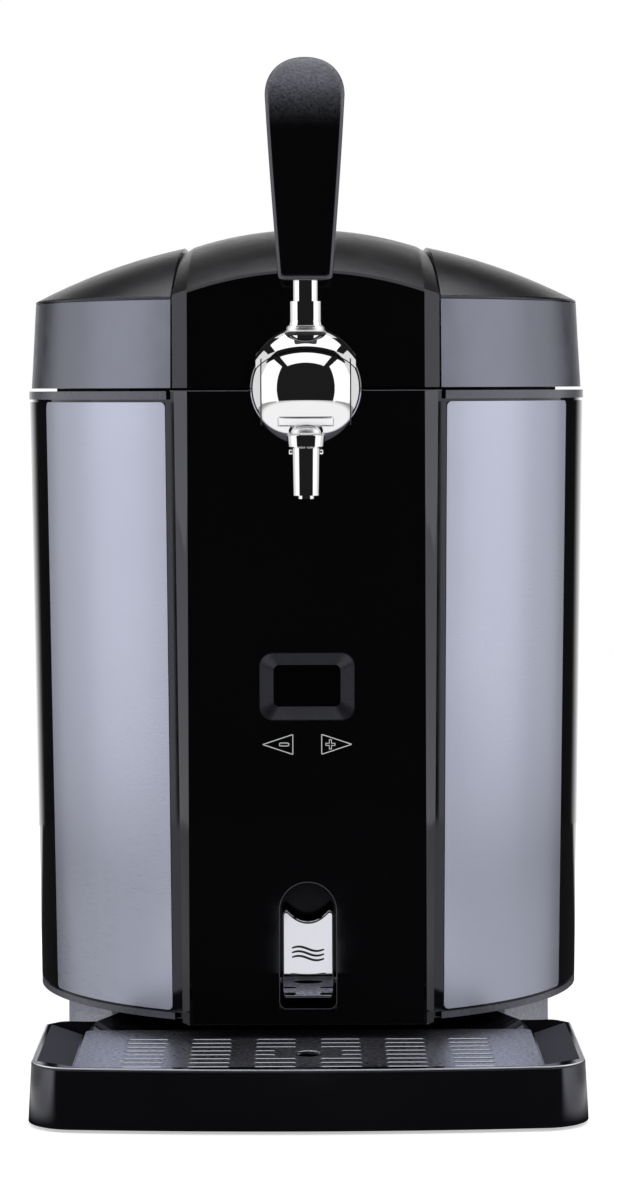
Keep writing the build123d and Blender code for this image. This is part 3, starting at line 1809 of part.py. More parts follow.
with BuildPart() as shank_flange:
    add(rod_y(flange_radius, flange_front_y, flange_back_y, 0, tap_z))
    chamfer(shank_flange.edges().group_by(Axis.Y)[0], length=1.2)
    add(rod_y(shank_radius + 0.02, flange_front_y - 1, flange_back_y + 1, 0, tap_z), mode=Mode.SUBTRACT)

with BuildPart() as tap_shank:
    add(rod_y(shank_radius, shank_front_y + 0.1, front_y(seam_z) + shank_tail, 0, tap_z))
    add(rod_y(shank_bore, shank_front_y, front_y(seam_z) + shank_tail + 1, 0, tap_z), mode=Mode.SUBTRACT)

nut_front_y = front_y(seam_z) + tower_wall + 0.4
with BuildPart() as shank_nut:
    with BuildSketch(Plane.XZ.offset(-nut_front_y)):
        with Locations((0, tap_z)):
            RegularPolygon(nut_radius, 6)
            Circle(shank_radius + 0.02, mode=Mode.SUBTRACT)
    extrude(amount=-nut_thickness)

with BuildPart() as tap_spout:
    add(
        rod_z(
            spout_collar_foot_radius,
            spout_collar_foot_z,
            spout_dome_z,
            0,
            spout_y,
            top_radius=spout_collar_radius,
        )
    )
    chamfer(tap_spout.edges().filter_by(GeomType.CIRCLE).group_by(Axis.Z)[0], length=0.8)
    add(ball(ball_radius + 0.02), mode=Mode.SUBTRACT)
    with BuildPart(mode=Mode.PRIVATE) as spout_dome:
        add(rod_z(spout_dome_radius, spout_dome_z - 1, spout_dome_top_z, 0, spout_y))
        fillet(spout_dome.edges().group_by(Axis.Z)[-1], radius=2.5)
    add(spout_dome.part)
    add(
        rod_z(
            spout_foot_radius, spout_end_z, spout_collar_foot_z, 0, spout_y, top_radius=spout_radius
        )
    )
    add(rod_z(spout_bore, spout_end_z - 1, spout_dome_z - 1, 0, spout_y), mode=Mode.SUBTRACT)
    add(rod_z(nozzle_bore, spout_dome_z - 2, spout_dome_top_z, 0, spout_y), mode=Mode.SUBTRACT)

with BuildPart() as spout_nozzle:
    add(rod_z(nozzle_radius, nozzle_end_z, spout_end_z + 12, 0, spout_y))
    add(rod_z(spout_bore - 0.02, spout_end_z + 8, spout_end_z + 12, 0, spout_y))
    add(rod_z(nozzle_bore, nozzle_end_z - 1, spout_end_z + 13, 0, spout_y), mode=Mode.SUBTRACT)

# ---------------------------------------------------------------- drip tray and grille


def tray_outline(plane):
    """Bowed front, round front corners, straight sides and slanted rear corners."""
    front = tray_front_y
    with BuildSketch(plane) as outline:
        with BuildLine():
            ThreePointArc(
                (-tray_front_half, front + tray_bow), (0, front), (tray_front_half, front + tray_bow)
            )
            for side in (-1, 1):
                ThreePointArc(
                    (side * tray_front_half, front + tray_bow),
                    (side * (tray_half - 5.2), front + tray_bow + 7.3),
                    (side * tray_half, front + tray_corner_back),
                )
                Polyline(
                    (side * tray_half, front + tray_corner_back),
                    (side * tray_half, front + tray_side_end),
                    (side * tray_rear_half, front + tray_depth),
                )
            Line(
                (-tray_rear_half, front + tray_depth),
                (tray_rear_half, front + tray_depth),
            )
        make_face()
    return outline.sketch


def eight_corners(z, half, front, back, cut_x, cut_front, cut_back):
    """Rectangle with cut corners, for the tray's faceted inner walls."""
    with BuildSketch(Plane.XY.offset(z)) as outline:
        with BuildLine():
            Polyline(
                (-half + cut_x, front),
                (half - cut_x, front),
                (half, front + cut_front),
                (half, back - cut_back),
                (half - cut_x, back),
                (-half + cut_x, back),
                (-half, back - cut_back),
                (-half, front + cut_front),
                close=True,
            )
        make_face()
    return outline.sketch


seat_z = grille_top_z - grille_sheet - 0.1
grille_front_y = tray_front_y + grille_front
grille_back_y = tray_front_y + grille_back
well_x = grille_half - grille_seat
basin_low_y = grille_front_y + grille_seat
basin_high_y = grille_back_y - grille_seat
basin_floor_z = tray_foot_z + tray_floor

with BuildPart() as drip_tray:
    tray_height = tray_top_z - tray_foot_z
    extrude(
        tray_outline(Plane.XY.offset(tray_top_z)),
        amount=tray_height,
        dir=(0, 0, -1),
        taper=-degrees(atan2(tray_flare, tray_height)),
    )
    fillet(drip_tray.faces().sort_by(Axis.Z)[-1].edges(), radius=tray_edge)
    facets = [
        eight_corners(
            tray_top_z + 0.01,
            tray_half - tray_rim,
            tray_front_y + tray_bow + 2.4,
            tray_front_y + tray_depth - tray_rim,
            facet_cut_x,
            facet_cut_front,
            facet_cut_back,
        ),
        eight_corners(
            seat_z,
            grille_half + grille_margin,
            grille_front_y - grille_margin,
            grille_back_y + grille_margin,
            grille_corner,
            grille_corner,
            grille_corner,
        ),
    ]
    with BuildPart(mode=Mode.PRIVATE) as tray_slope:
        loft(facets, ruled=True)
    add(tray_slope.part, mode=Mode.SUBTRACT)
    add(
        block(-well_x, well_x, basin_low_y, basin_high_y, basin_floor_z, seat_z + 1),
        mode=Mode.SUBTRACT,
    )
    with BuildSketch(Plane.XY.offset(tray_foot_z)):
        offset(tray_outline(Plane.XY.offset(tray_foot_z)), amount=-tray_rim)
        with Locations((0, (basin_low_y + basin_high_y) / 2)):
            Rectangle(
                2 * (well_x + tray_rim),
                basin_high_y - basin_low_y + 2 * tray_rim,
                mode=Mode.SUBTRACT,
            )
    extrude(amount=seat_z - tray_foot_z - tray_rim - 1, mode=Mode.SUBTRACT)

tray_foot_places = [
    (side * tray_foot_x, tray_front_y + back)
    for side in (-1, 1)
    for back in (tray_foot_front, tray_foot_rear)
]
with BuildPart() as tray_feet:
    with BuildSketch():
        with Locations(*tray_foot_places):
            Circle(tray_foot_radius)
    extrude(amount=tray_foot_z)

with BuildPart() as drip_grille:
    with BuildSketch(Plane.XY.offset(grille_top_z - grille_sheet)) as sheet:
        with Locations((0, (grille_front_y + grille_back_y) / 2)):
            RectangleRounded(2 * grille_half, grille_back_y - grille_front_y, grille_corner)
        for row in range(slot_rows):
            slot_y = tray_front_y + slot_first_row + row * slot_pitch_y
            beside_hole = abs(slot_y - tray_front_y - finger_hole_back) < slot_pitch_y
            for column in range(slot_columns):
                slot_x = (column - (slot_columns - 1) / 2) * slot_pitch_x
                short = beside_hole and abs(slot_x) < slot_pitch_x
                shift = slot_length / 4 if slot_x > 0 else -slot_length / 4
                with Locations((slot_x + (shift if short else 0), slot_y)):
                    SlotOverall(
                        slot_length / 2 if short else slot_length,
                        slot_width,
                        mode=Mode.SUBTRACT,
                    )
        with Locations((0, tray_front_y + finger_hole_back)):
            Circle(finger_hole_radius, mode=Mode.SUBTRACT)
    extrude(amount=grille_sheet)

# ---------------------------------------------------------------- written parts

pieces = {
    "base_plinth": base_plinth,
    "rubber_feet": rubber_feet,
    "base_screws": base_screws,
    "body_shell": body_shell,
    "lower_trim": lower_trim,
    "upper_trim_band": upper_trim_band,
    "side_panel_left": side_panel_left,
    "side_panel_right": side_panel_right,
    "front_panel": front_panel,
    "display_bezel": display_bezel,
    "display_window": display_window,
    "display_board": display_board,
    "key_symbols": key_symbols,
    "drain_housing": drain_housing,
    "drain_pin": drain_pin,
    "drain_lever": drain_lever,
    "drain_symbol": drain_symbol,
    "drain_plunger": drain_plunger,
    "drain_valve": drain_valve,
    "drain_hose": drain_hose,
    "chamber_liner": chamber_liner,
    "insulation_foam": insulation_foam,
    "top_deck": top_deck,
    "cold_block": cold_block,
    "peltier_module": peltier_module,
    "heat_sink": heat_sink,
    "fan_frame": fan_frame,
    "fan_rotor": fan_rotor,
    "rear_housing": rear_housing,
    "rear_grille": rear_grille,
    "housing_screws": housing_screws,
    "power_board": power_board,
    "power_inlet": power_inlet,
    "rocker_switch": rocker_switch,
    "lid_shell": lid_shell,
    "lid_band": lid_band,
    "lid_spine": lid_spine,
    "lid_liner": lid_liner,
    "lid_foam": lid_foam,
    "lid_seal": lid_seal,
    "hinge_bracket": hinge_bracket,
    "hinge_pin": hinge_pin,
    "hinge_leaf": hinge_leaf,
    "tap_body": tap_body,
    "tap_cap_left": tap_cap_left,
    "tap_cap_right": tap_cap_right,
    "tap_axle": tap_axle,
    "tap_visor": tap_visor,
    "tap_collar": tap_collar,
    "tap_stem": tap_stem,
    "tap_handle": tap_handle,
    "valve_plunger": valve_plunger,
    "shank_flange": shank_flange,
    "tap_shank": tap_shank,
    "shank_nut": shank_nut,
    "tap_spout": tap_spout,
    "spout_nozzle": spout_nozzle,
    "drip_tray": drip_tray,
    "tray_feet": tray_feet,
    "drip_grille": drip_grille,
}

os.makedirs("parts", exist_ok=True)
for name, piece in pieces.items():
    piece.part.label = name
    export_step(piece.part, f"parts/{name}.step")
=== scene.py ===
import math

import bmesh
import bpy
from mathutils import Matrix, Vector


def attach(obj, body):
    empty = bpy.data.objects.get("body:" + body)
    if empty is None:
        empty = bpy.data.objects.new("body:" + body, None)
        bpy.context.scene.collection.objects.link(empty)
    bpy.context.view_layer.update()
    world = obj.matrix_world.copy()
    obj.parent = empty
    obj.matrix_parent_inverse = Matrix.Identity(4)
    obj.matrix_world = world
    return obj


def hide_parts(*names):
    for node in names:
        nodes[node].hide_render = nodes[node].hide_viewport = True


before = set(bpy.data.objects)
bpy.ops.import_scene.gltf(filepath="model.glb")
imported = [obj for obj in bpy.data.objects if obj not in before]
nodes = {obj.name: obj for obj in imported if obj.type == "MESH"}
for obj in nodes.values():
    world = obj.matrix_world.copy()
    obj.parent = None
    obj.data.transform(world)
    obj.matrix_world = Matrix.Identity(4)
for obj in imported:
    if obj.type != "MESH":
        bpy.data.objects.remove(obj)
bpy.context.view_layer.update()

SIDES = (("left", -1), ("right", 1))


# ------------------------------------------------ node helpers

WHITE = (1.0, 1.0, 1.0)

SOCKETS = {
    "colour": "Base Color",
    "rough": "Roughness",
    "metal": "Metallic",
    "normal": "Normal",
    "specular": "Specular IOR Level",
    "gloss_tint": "Specular Tint",
}


def grey(value, tint=WHITE):
    return (value * tint[0], value * tint[1], value * tint[2])


class Nodes:
    """Adds shader nodes to a tree with little writing."""

    def __init__(self, tree, coords="Object"):
        self.tree = tree
        self.coords = self.node("ShaderNodeTexCoord").outputs[coords]

    def node(self, kind, inputs=None, **settings):
        """A node with its settings, and with the inputs given by name or number."""
        made = self.tree.nodes.new(kind)
        for key, value in settings.items():
            setattr(made, key, value)
        for key, value in (inputs or {}).items():
            self.feed(made.inputs[key], value)
        return made

    def feed(self, socket, value):
        """Links a socket to another, or sets it to a plain value."""
        if isinstance(value, bpy.types.NodeSocket):
            self.tree.links.new(value, socket)
        else:
            socket.default_value = value

    def stretched(self, scale):
        """The coordinates, scaled along each axis."""
        inputs = {"Vector": self.coords, "Scale": scale}
        return self.node("ShaderNodeMapping", inputs).outputs["Vector"]

    def noise(self, scale, detail=4.0, rough=0.55, vector=None):
        inputs = {
            "Vector": vector or self.coords, "Scale": scale, "Detail": detail, "Roughness": rough
        }
        return self.node("ShaderNodeTexNoise", inputs).outputs["Fac"]

    def voronoi(self, scale, feature="F1"):
        inputs = {"Vector": self.coords, "Scale": scale}
        return self.node("ShaderNodeTexVoronoi", inputs, feature=feature).outputs["Distance"]

    def spread(self, source, low, high, start=0.3, end=0.7):
        """Maps a value smoothly from start..end to low..high."""
        inputs = {
            "Value": source, "From Min": start, "From Max": end, "To Min": low, "To Max": high
        }
        made = self.node("ShaderNodeMapRange", inputs, interpolation_type="SMOOTHSTEP")
        return made.outputs["Result"]

    def rising(self, source, start, end):
        return self.spread(source, 0.0, 1.0, start, end)

    def falling(self, source, start, end, top=1.0):
        return self.spread(source, top, 0.0, start, end)

    def ramp(self, source, *stops):
        """Colours by a value, from stops of (place, colour)."""
        made = self.node("ShaderNodeValToRGB", {"Fac": source})
        for element, (place, colour) in zip(made.color_ramp.elements, stops):
            element.position = place
            element.color = (*colour, 1.0)
        return made.outputs["Color"]

    def shades(self, source, low, high, tint=WHITE, start=0.3, end=0.7):
        """Greys of one tint by a value."""
        return self.ramp(source, (start, grey(low, tint)), (end, grey(high, tint)))

    def blend(self, factor, first, second, kind="FLOAT"):
        """Mixes two numbers, or two colours where the kind is RGBA."""
        inputs = {"Factor": factor, "A": first, "B": second}
        return self.node("ShaderNodeMix", inputs, data_type=kind).outputs["Result"]

    def maths(self, operation, first, second=0.0):
        return self.node("ShaderNodeMath", {0: first, 1: second}, operation=operation).outputs[0]

    def plus(self, first, second):
        return self.maths("ADD", first, second)

    def minus(self, first, second):
        return self.maths("SUBTRACT", first, second)

    def times(self, first, second):
        return self.maths("MULTIPLY", first, second)

    def larger(self, first, second):
        return self.maths("MAXIMUM", first, second)

    def axis(self, name):
        """One of the coordinates."""
        return self.node("ShaderNodeSeparateXYZ", {"Vector": self.coords}).outputs[name]

    def bump(self, height, distance, strength, under=None):
        """Relief from a height; it lies over another relief where one is given."""
        inputs = {"Strength": strength, "Distance": distance, "Height": height}
        if under is not None:
            inputs["Normal"] = under
        return self.node("ShaderNodeBump", inputs).outputs["Normal"]

    def by_ray(self, camera, glossy, other):
        """One strength for the camera and for glass, one for mirrors and one for lighting."""
        path = self.node("ShaderNodeLightPath").outputs
        sum_of_both = {0: path["Is Camera Ray"], 1: path["Is Transmission Ray"]}
        direct = self.node("ShaderNodeMath", sum_of_both, operation="ADD", use_clamp=True)
        mirrored = self.blend(path["Is Glossy Ray"], other, glossy)
        return self.blend(direct.outputs[0], mirrored, camera)


class Look(Nodes):
    """A material with its principled shader."""

    def __init__(self, name):
        self.material = bpy.data.materials.new(name)
        self.material.use_nodes = True
        super().__init__(self.material.node_tree)
        self.shader = self.tree.nodes["Principled BSDF"]

    def set(self, **values):
        for key, value in values.items():
            self.feed(self.shader.inputs[SOCKETS[key]], value)
        return self.material


# ------------------------------------------------ materials

# Tints of dark plastic, of its reflections and of the steels.
COOL = (0.93, 0.95, 1.12)
BLUISH = (0.85, 0.86, 1.0, 1.0)
STEEL = (0.965, 1.0, 1.22)
GRILLE = (0.985, 1.0, 1.12)
PALE_STEEL = (0.93, 0.95, 1.06)
FROST = (1.0, 1.0, 1.02)

# How strokes are stretched along each axis: brushed round the drum, or not at all.
BRUSHED = (1.0, 1.0, 60.0)
UNBRUSHED = (1.0, 1.0, 1.0)

# Noise scales that several plastics share: clouding, polish and satin.
CLOUD_SCALE = 9.0
POLISH_SCALE = 55.0
SATIN_SCALE = 40.0


def gloss_plastic(name, value, rough, specular=0.6):
    """Black high-gloss plastic with the faint waviness of a moulding."""
    t = Look(name)
    wave = t.bump(t.noise(38.0, 2.0), distance=0.00002, strength=0.35)
    return t.set(
        colour=t.shades(t.noise(CLOUD_SCALE, 3.0), value * 0.85, value * 1.2, COOL),
        rough=t.spread(t.noise(POLISH_SCALE, 5.0), rough * 0.8, rough * 1.35),
        normal=t.bump(t.noise(900.0, 2.0), distance=0.000004, strength=0.25, under=wave),
        specular=specular,
        gloss_tint=BLUISH,
    )


def grained_plastic(name, value, rough, grain, size, strength, specular=0.5):
    """Plastic with a fine spark-eroded grain, of a depth in metres and a noise scale."""
    t = Look(name)
    height = t.plus(t.voronoi(size), t.noise(size * 0.6, 3.0))
    return t.set(
        colour=t.shades(t.noise(size * 0.5, 2.0), value * 0.7, value * 1.35, COOL, end=0.72),
        rough=t.spread(t.noise(SATIN_SCALE), rough * 0.92, rough * 1.1),
        normal=t.bump(height, grain, strength),
        specular=specular,
        gloss_tint=BLUISH,
    )


def spine_plastic(name, front):
    """Grained on top; the face at the front, forward of a Y in metres, is high gloss."""
    t = Look(name)
    grained = t.rising(t.axis("Y"), front, front + 0.0005)
    height = t.plus(t.voronoi(1700.0), t.noise(1100.0, 3.0))
    gloss = t.shades(t.noise(CLOUD_SCALE, 3.0), 0.0017, 0.0024, COOL)
    grain = t.shades(t.noise(1200.0, 2.0), 0.003, 0.006, COOL, end=0.72)
    polish = t.spread(t.noise(POLISH_SCALE, 5.0), 0.04, 0.07)
    satin = t.spread(t.noise(SATIN_SCALE), 0.21, 0.25)
    return t.set(
        colour=t.blend(grained, gloss, grain, "RGBA"),
        rough=t.blend(grained, polish, satin),
        normal=t.bump(t.times(height, grained), distance=0.00004, strength=0.6),
        specular=0.5,
        gloss_tint=BLUISH,
    )


def handle_plastic_with_painted_light(name, low, high):
    """High gloss below, turning to a coarse grain between two heights in metres; the grain's far
    lighter grey is painted light on the top.
    """
    t = Look(name)
    grained = t.rising(t.axis("Z"), low, high)
    height = t.plus(t.voronoi(900.0), t.noise(700.0, 3.0))
    gloss = t.shades(t.noise(CLOUD_SCALE, 3.0), 0.0012, 0.0018, COOL)
    # Painted light: the grain's grey is far lighter than the gloss below, as if lit from above.
    grain = t.shades(t.noise(800.0, 3.0), 0.03, 0.11, COOL, start=0.32, end=0.68)
    return t.set(
        colour=t.blend(grained, gloss, grain, "RGBA"),
        rough=t.blend(grained, t.spread(t.noise(60.0), 0.13, 0.17), 0.4),
        normal=t.bump(t.times(height, grained), distance=0.00012, strength=0.7),
        specular=0.9,
        gloss_tint=BLUISH,
    )


def tray_plastic(name):
    """Gloss black; the slopes inside the rim are matt."""
    t = Look(name)
    facing = t.node("ShaderNodeNewGeometry").outputs["Normal"]
    upward = t.node("ShaderNodeSeparateXYZ", {"Vector": facing}).outputs["Z"]
    slope = t.times(t.rising(upward, 0.1, 0.2), t.falling(upward, 0.93, 0.97))
    polish = t.spread(t.noise(POLISH_SCALE, 5.0), 0.07, 0.11)
    return t.set(
        colour=t.shades(t.noise(CLOUD_SCALE, 3.0), 0.0036, 0.0046, COOL),
        rough=t.blend(slope, polish, 0.62),
        normal=t.bump(t.noise(1100.0, 3.0), distance=0.00001, strength=0.2),
        specular=0.85,
        gloss_tint=BLUISH,
    )


def satin_paint(name, low, high, rough):
    """Semi-gloss dark paint with a very fine texture."""
    t = Look(name)
    return t.set(
        colour=t.shades(t.noise(700.0, 3.0), low, high, COOL),
        rough=t.spread(t.noise(60.0), rough * 0.9, rough * 1.15),
        normal=t.bump(t.noise(850.0, 2.0), distance=0.00001, strength=0.5),
        gloss_tint=BLUISH,
    )


def brushed_steel(name, value, rough, along=UNBRUSHED, tint=PALE_STEEL):
    """Steel with fine strokes, stretched along each axis."""
    t = Look(name)
    strokes = t.noise(90.0, 6.0, 0.7, t.stretched(along))
    blotch = t.spread(t.noise(7.0), -0.02, 0.03)
    return t.set(
        colour=t.shades(strokes, value * 0.93, value * 1.05, tint, start=0.25, end=0.75),
        rough=t.plus(t.spread(strokes, rough * 0.85, rough * 1.1), blotch),
        metal=1.0,
        normal=t.bump(strokes, distance=0.00001, strength=0.3),
    )


def grained_steel(name):
    """Rolled steel sheet with a coarse satin grain."""
    t = Look(name)
    grain = t.noise(850.0, 4.0, 0.65, t.stretched((0.6, 1.0, 1.0)))
    cloud = t.spread(t.noise(25.0), -0.02, 0.03)
    return t.set(
        colour=t.shades(grain, 0.2, 0.72, GRILLE, start=0.34, end=0.66),
        rough=t.plus(t.spread(grain, 0.26, 0.4), cloud),
        metal=1.0,
        normal=t.bump(grain, distance=0.00012, strength=0.8),
    )


def chrome(name, value, rough=0.025, tint=WHITE):
    """Polished plating with faint smears."""
    t = Look(name)
    return t.set(
        colour=t.shades(t.noise(24.0, 3.0), value * 0.98, value * 1.02, tint),
        rough=t.spread(t.noise(70.0, 5.0), rough * 0.7, rough * 1.6),
        metal=1.0,
    )


def rubber(name, value=0.02):
    """Matt rubber with a fine tooth."""
    t = Look(name)
    return t.set(
        colour=t.shades(t.noise(300.0), value * 0.8, value * 1.3),
        rough=t.spread(t.noise(120.0), 0.7, 0.85),
        normal=t.bump(t.noise(1500.0, 3.0), distance=0.00003, strength=0.5),
    )


def cast_metal(name, value, rough, tint=WHITE):
    """Plain metal with a cast or plated skin."""
    t = Look(name)
    return t.set(
        colour=t.shades(t.noise(180.0, 5.0), value * 0.9, value * 1.05, tint),
        rough=t.spread(t.noise(90.0, 5.0), rough * 0.85, rough * 1.2),
        metal=1.0,
        normal=t.bump(t.noise(600.0, 3.0), distance=0.00001, strength=0.4),
    )


def foam(name, dark, light):
    """Cut foam with its cells."""
    t = Look(name)
    return t.set(
        colour=t.ramp(t.noise(60.0, 5.0), (0.3, dark), (0.7, light)),
        rough=0.9,
        normal=t.bump(t.voronoi(420.0), distance=0.0002, strength=0.7),
    )


def board(name):
    """Green circuit board with the pattern of its tracks."""
    t = Look(name)
    tracks = t.voronoi(160.0, feature="DISTANCE_TO_EDGE")
    return t.set(
        colour=t.ramp(tracks, (0.02, (0.02, 0.12, 0.05)), (0.06, (0.008, 0.06, 0.025))),
        rough=t.spread(t.noise(200.0), 0.3, 0.45),
    )


def printed(name, value):
    """Flat ink, or another plain pale or dark surface."""
    t = Look(name)
    return t.set(
        colour=t.shades(t.noise(2500.0, 2.0), value * 0.9, value * 1.05),
        rough=t.spread(t.noise(400.0), 0.4, 0.55),
    )


def dark_glass(name):
    """Smoked window over the display."""
    t = Look(name)
    return t.set(
        colour=t.shades(t.noise(30.0), 0.001, 0.002),
        rough=t.spread(t.noise(80.0), 0.02, 0.05),
        specular=0.2,
    )


finish = {
    "panel": gloss_plastic("gloss_black_panel", 0.0017, 0.05, specular=0.8),
    "shell": gloss_plastic("gloss_black_shell", 0.002, 0.06),
    "tray": tray_plastic("gloss_black_tray"),
    "lid": grained_plastic(
        "grained_black_lid", 0.004, 0.22, grain=0.00004, size=1700.0, strength=0.6, specular=0.6
    ),
    "spine": spine_plastic("grained_and_gloss_spine", front=-0.1132),
    "handle": handle_plastic_with_painted_light("gloss_and_grained_handle_painted_light", low=0.447, high=0.470),
    "trim": satin_paint("satin_dark_trim", 0.09, 0.11, 0.25),
    "bezel": satin_paint("satin_black_bezel", 0.010, 0.014, 0.28),
    # The plinth's light grey is a painted reflection: the base is glossy and shows the white
    # around it.
    "plinth": grained_plastic(
        "grained_plinth_painted_reflection", 0.34, 0.4, grain=0.00004, size=1500.0, strength=0.5
    ),
    "housing": grained_plastic(
        "grained_housing", 0.02, 0.5, grain=0.00006, size=1300.0, strength=0.7
    ),
    "steel": brushed_steel("brushed_steel_side", 0.45, 0.32, BRUSHED, STEEL),
    "band": brushed_steel("satin_steel_band", 0.2, 0.34, tint=STEEL),
    "grille": grained_steel("grained_steel_grille"),
    "chrome": chrome("chrome_tap", 0.8),
    "lever": chrome("chrome_lever", 0.66, 0.03, (0.97, 0.97, 1.05)),
    "print": printed("printed_light", 0.85),
    "wave": printed("printed_dark", 0.02),
    "window": dark_glass("dark_window"),
    "rubber": rubber("black_rubber"),
    "hose": rubber("grey_hose", 0.35),
    "screw": cast_metal("zinc_screw", 0.5, 0.32),
    "aluminium": cast_metal("aluminium_well", 0.7, 0.35, (0.98, 0.99, 1.0)),
    "foam": foam("cream_foam", (0.62, 0.55, 0.38), (0.78, 0.72, 0.55)),
    "white": foam("white_foam", grey(0.7), grey(0.82)),
    "board": board("green_board"),
    "ceramic": printed("ceramic_plate", 0.75),
    # A black that takes almost no reflection, for painted shade on the tray's slopes and the
    # panel's foot.
    "shade_sheet": gloss_plastic("painted_shade_black", 0.0040, 0.5, specular=0.003),
    "niche": gloss_plastic("gloss_black_niche", 0.002, 0.15, specular=0.3),
    "edge": brushed_steel("bright_slot_edge", 0.5, 0.3, tint=GRILLE),
    # A bright steel for the painted highlight along the tray's rim.
    "rim": brushed_steel("painted_rim_highlight", 0.85, 0.35),
    "frost": brushed_steel("frosted_recess", 0.92, 0.4, tint=FROST),
}

# The nodes of the CAD by their finish.
dress = {
    "aluminium": ("chamber_liner", "cold_block", "heat_sink"),
    "band": ("lid_band",),
    "bezel": ("display_bezel", "power_inlet", "rocker_switch"),
    "board": ("display_board", "power_board"),
    "ceramic": ("peltier_module",),
    "chrome": (
        "tap_body", "tap_cap_left", "tap_cap_right", "tap_visor", "tap_collar", "tap_stem",
        "shank_flange", "tap_spout", "spout_nozzle",
    ),
    "foam": ("insulation_foam",),
    "grille": ("drip_grille",),
    "handle": ("tap_handle",),
    "hose": ("drain_hose",),
    "housing": (
        "top_deck", "fan_frame", "fan_rotor", "rear_housing", "rear_grille", "lid_liner",
        "hinge_bracket", "hinge_leaf",
    ),
    "lever": ("drain_lever",),
    "lid": ("lid_shell",),
    "niche": ("drain_housing",),
    "panel": ("front_panel",),
    "plinth": ("base_plinth",),
    "print": ("key_symbols", "drain_plunger", "drain_valve"),
    "rubber": ("rubber_feet", "lid_seal", "tray_feet"),
    "screw": (
        "base_screws", "drain_pin", "housing_screws", "hinge_pin", "tap_axle", "valve_plunger",
        "tap_shank", "shank_nut",
    ),
    "shell": ("body_shell",),
    "spine": ("lid_spine",),
    "steel": ("side_panel_left", "side_panel_right"),
    "tray": ("drip_tray",),
    "trim": ("lower_trim", "upper_trim_band"),
    "wave": ("drain_symbol",),
    "white": ("lid_foam",),
    "window": ("display_window",),
}

for look, names in dress.items():
    for name in names:
        materials = nodes[name].data.materials
        materials.clear()
        materials.append(finish[look])


# ------------------------------------------------ mesh helpers

def make(name, shape, look, body, smooth=True):
    """A piece from points in metres and faces, with its finish and body."""
    points, faces = shape
    mesh = bpy.data.meshes.new(name)
    mesh.from_pydata(points, [], faces)
    work = bmesh.new()
    work.from_mesh(mesh)
    bmesh.ops.recalc_face_normals(work, faces=work.faces[:])
    work.to_mesh(mesh)
    work.free()
    mesh.materials.append(finish[look])
    for face in mesh.polygons:
        face.use_smooth = smooth
    made = bpy.data.objects.new(name, mesh)
    bpy.context.collection.objects.link(made)
    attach(made, body)
    return made


def welded(node):
    """Work copy of a node's mesh, with its doubled points joined."""
    work = bmesh.new()
    work.from_mesh(nodes[node].data)
    bmesh.ops.remove_doubles(work, verts=work.verts[:], dist=1e-6)
    work.normal_update()
    return work


def joined(*shapes):
    """Several shapes as one."""
    points, faces = [], []
    for some_points, some_faces in shapes:
        start = len(points)
        points += some_points
        faces += [tuple(start + corner for corner in face) for face in some_faces]
    return points, faces


def looped(rings, closed=True):
    """Faces through equal rings of points; closed joins the last ring to the first."""
    count = len(rings[0])
    points = [point for one in rings for point in one]
    faces = []
    for step in range(len(rings) if closed else len(rings) - 1):
        here = step * count
        there = (step + 1) % len(rings) * count
        for k in range(count):
            after = (k + 1) % count
            faces.append((here + k, here + after, there + after, there + k))
    return points, faces


def capped(rings):
    """Faces through rings from the first to the last, and a flat one over each end."""
    count = len(rings[0])
    points, faces = looped(rings, closed=False)
    faces.append(tuple(range(count)))
    faces.append(tuple(range(len(points) - count, len(points))))
    return points, faces


def turned(profile, centre, axis, steps=96):
    """A closed profile of (radius, along) turned round a line through the centre."""
    rings = []
    for step in range(steps):
        turn = 2 * math.pi * step / steps
        across, up = math.cos(turn), math.sin(turn)
        ring = []
        for radius, along in profile:
            if axis == "X":
                offset = (along, radius * across, radius * up)
            else:
                offset = (radius * across, radius * up, along)
            ring.append(tuple(centre[k] + offset[k] for k in range(3)))
        rings.append(ring)
    return looped(rings)


def round_section(radius, along, thick, high, steps=12):
    """Oval section of a ring: its middle radius and place, and its half sizes."""
    turns = [2 * math.pi * k / steps for k in range(steps)]
    return [(radius + thick * math.cos(turn), along + high * math.sin(turn)) for turn in turns]


def grid_faces(wide, tall):
    """Faces of a grid of points that is so many points wide and tall."""
    return [
        (corner, corner + 1, corner + wide + 1, corner + wide)
        for row in range(0, (tall - 1) * wide, wide)
        for corner in range(row, row + wide - 1)
    ]


def sideways(before, after):
    """Unit vector to the left of the way from one point of a plan to another."""
    return Vector((before.y - after.y, after.x - before.x)).normalized()


def corner_curve(start, corner, end, steps=4):
    """Points of the short curve that cuts a corner."""
    points = []
    for step in range(steps + 1):
        share = step / steps
        bend = corner * 2 * share * (1 - share)
        points.append(start * (1 - share) ** 2 + bend + end * share**2)
    return points


def wire(line, radius, sides=8):
    """A round wire along level points of (x, y, z), closed with flat ends."""
    rings = []
    for k, here in enumerate(line):
        across = sideways(line[max(k - 1, 0)], line[min(k + 1, len(line) - 1)]).to_3d()
        ring = []
        for step in range(sides):
            turn = 2 * math.pi * step / sides
            up = Vector((0.0, 0.0, radius * math.sin(turn)))
            ring.append(tuple(here + across * radius * math.cos(turn) + up))
        rings.append(ring)
    return capped(rings)


# ------------------------------------------------ tap details

# The ball's centre and radius, and how far ahead of the centre the stem and the spout stand.
TAP = Vector((0.0, -0.1596, 0.3305))
BALL = 0.0263
STEM_AHEAD = 0.010
SPOUT_AHEAD = 0.014

# Dark seams where the ball's side caps meet its middle.
SEAM_X = 0.0203
SEAM_THICK = 0.0003
seam_radius = math.sqrt(BALL**2 - SEAM_X**2)
for name, side in SIDES:
    section = round_section(seam_radius, side * SEAM_X, SEAM_THICK, SEAM_THICK)
    make(f"tap_seam_{name}", turned(section, TAP, "X"), "rubber", "cabinet")
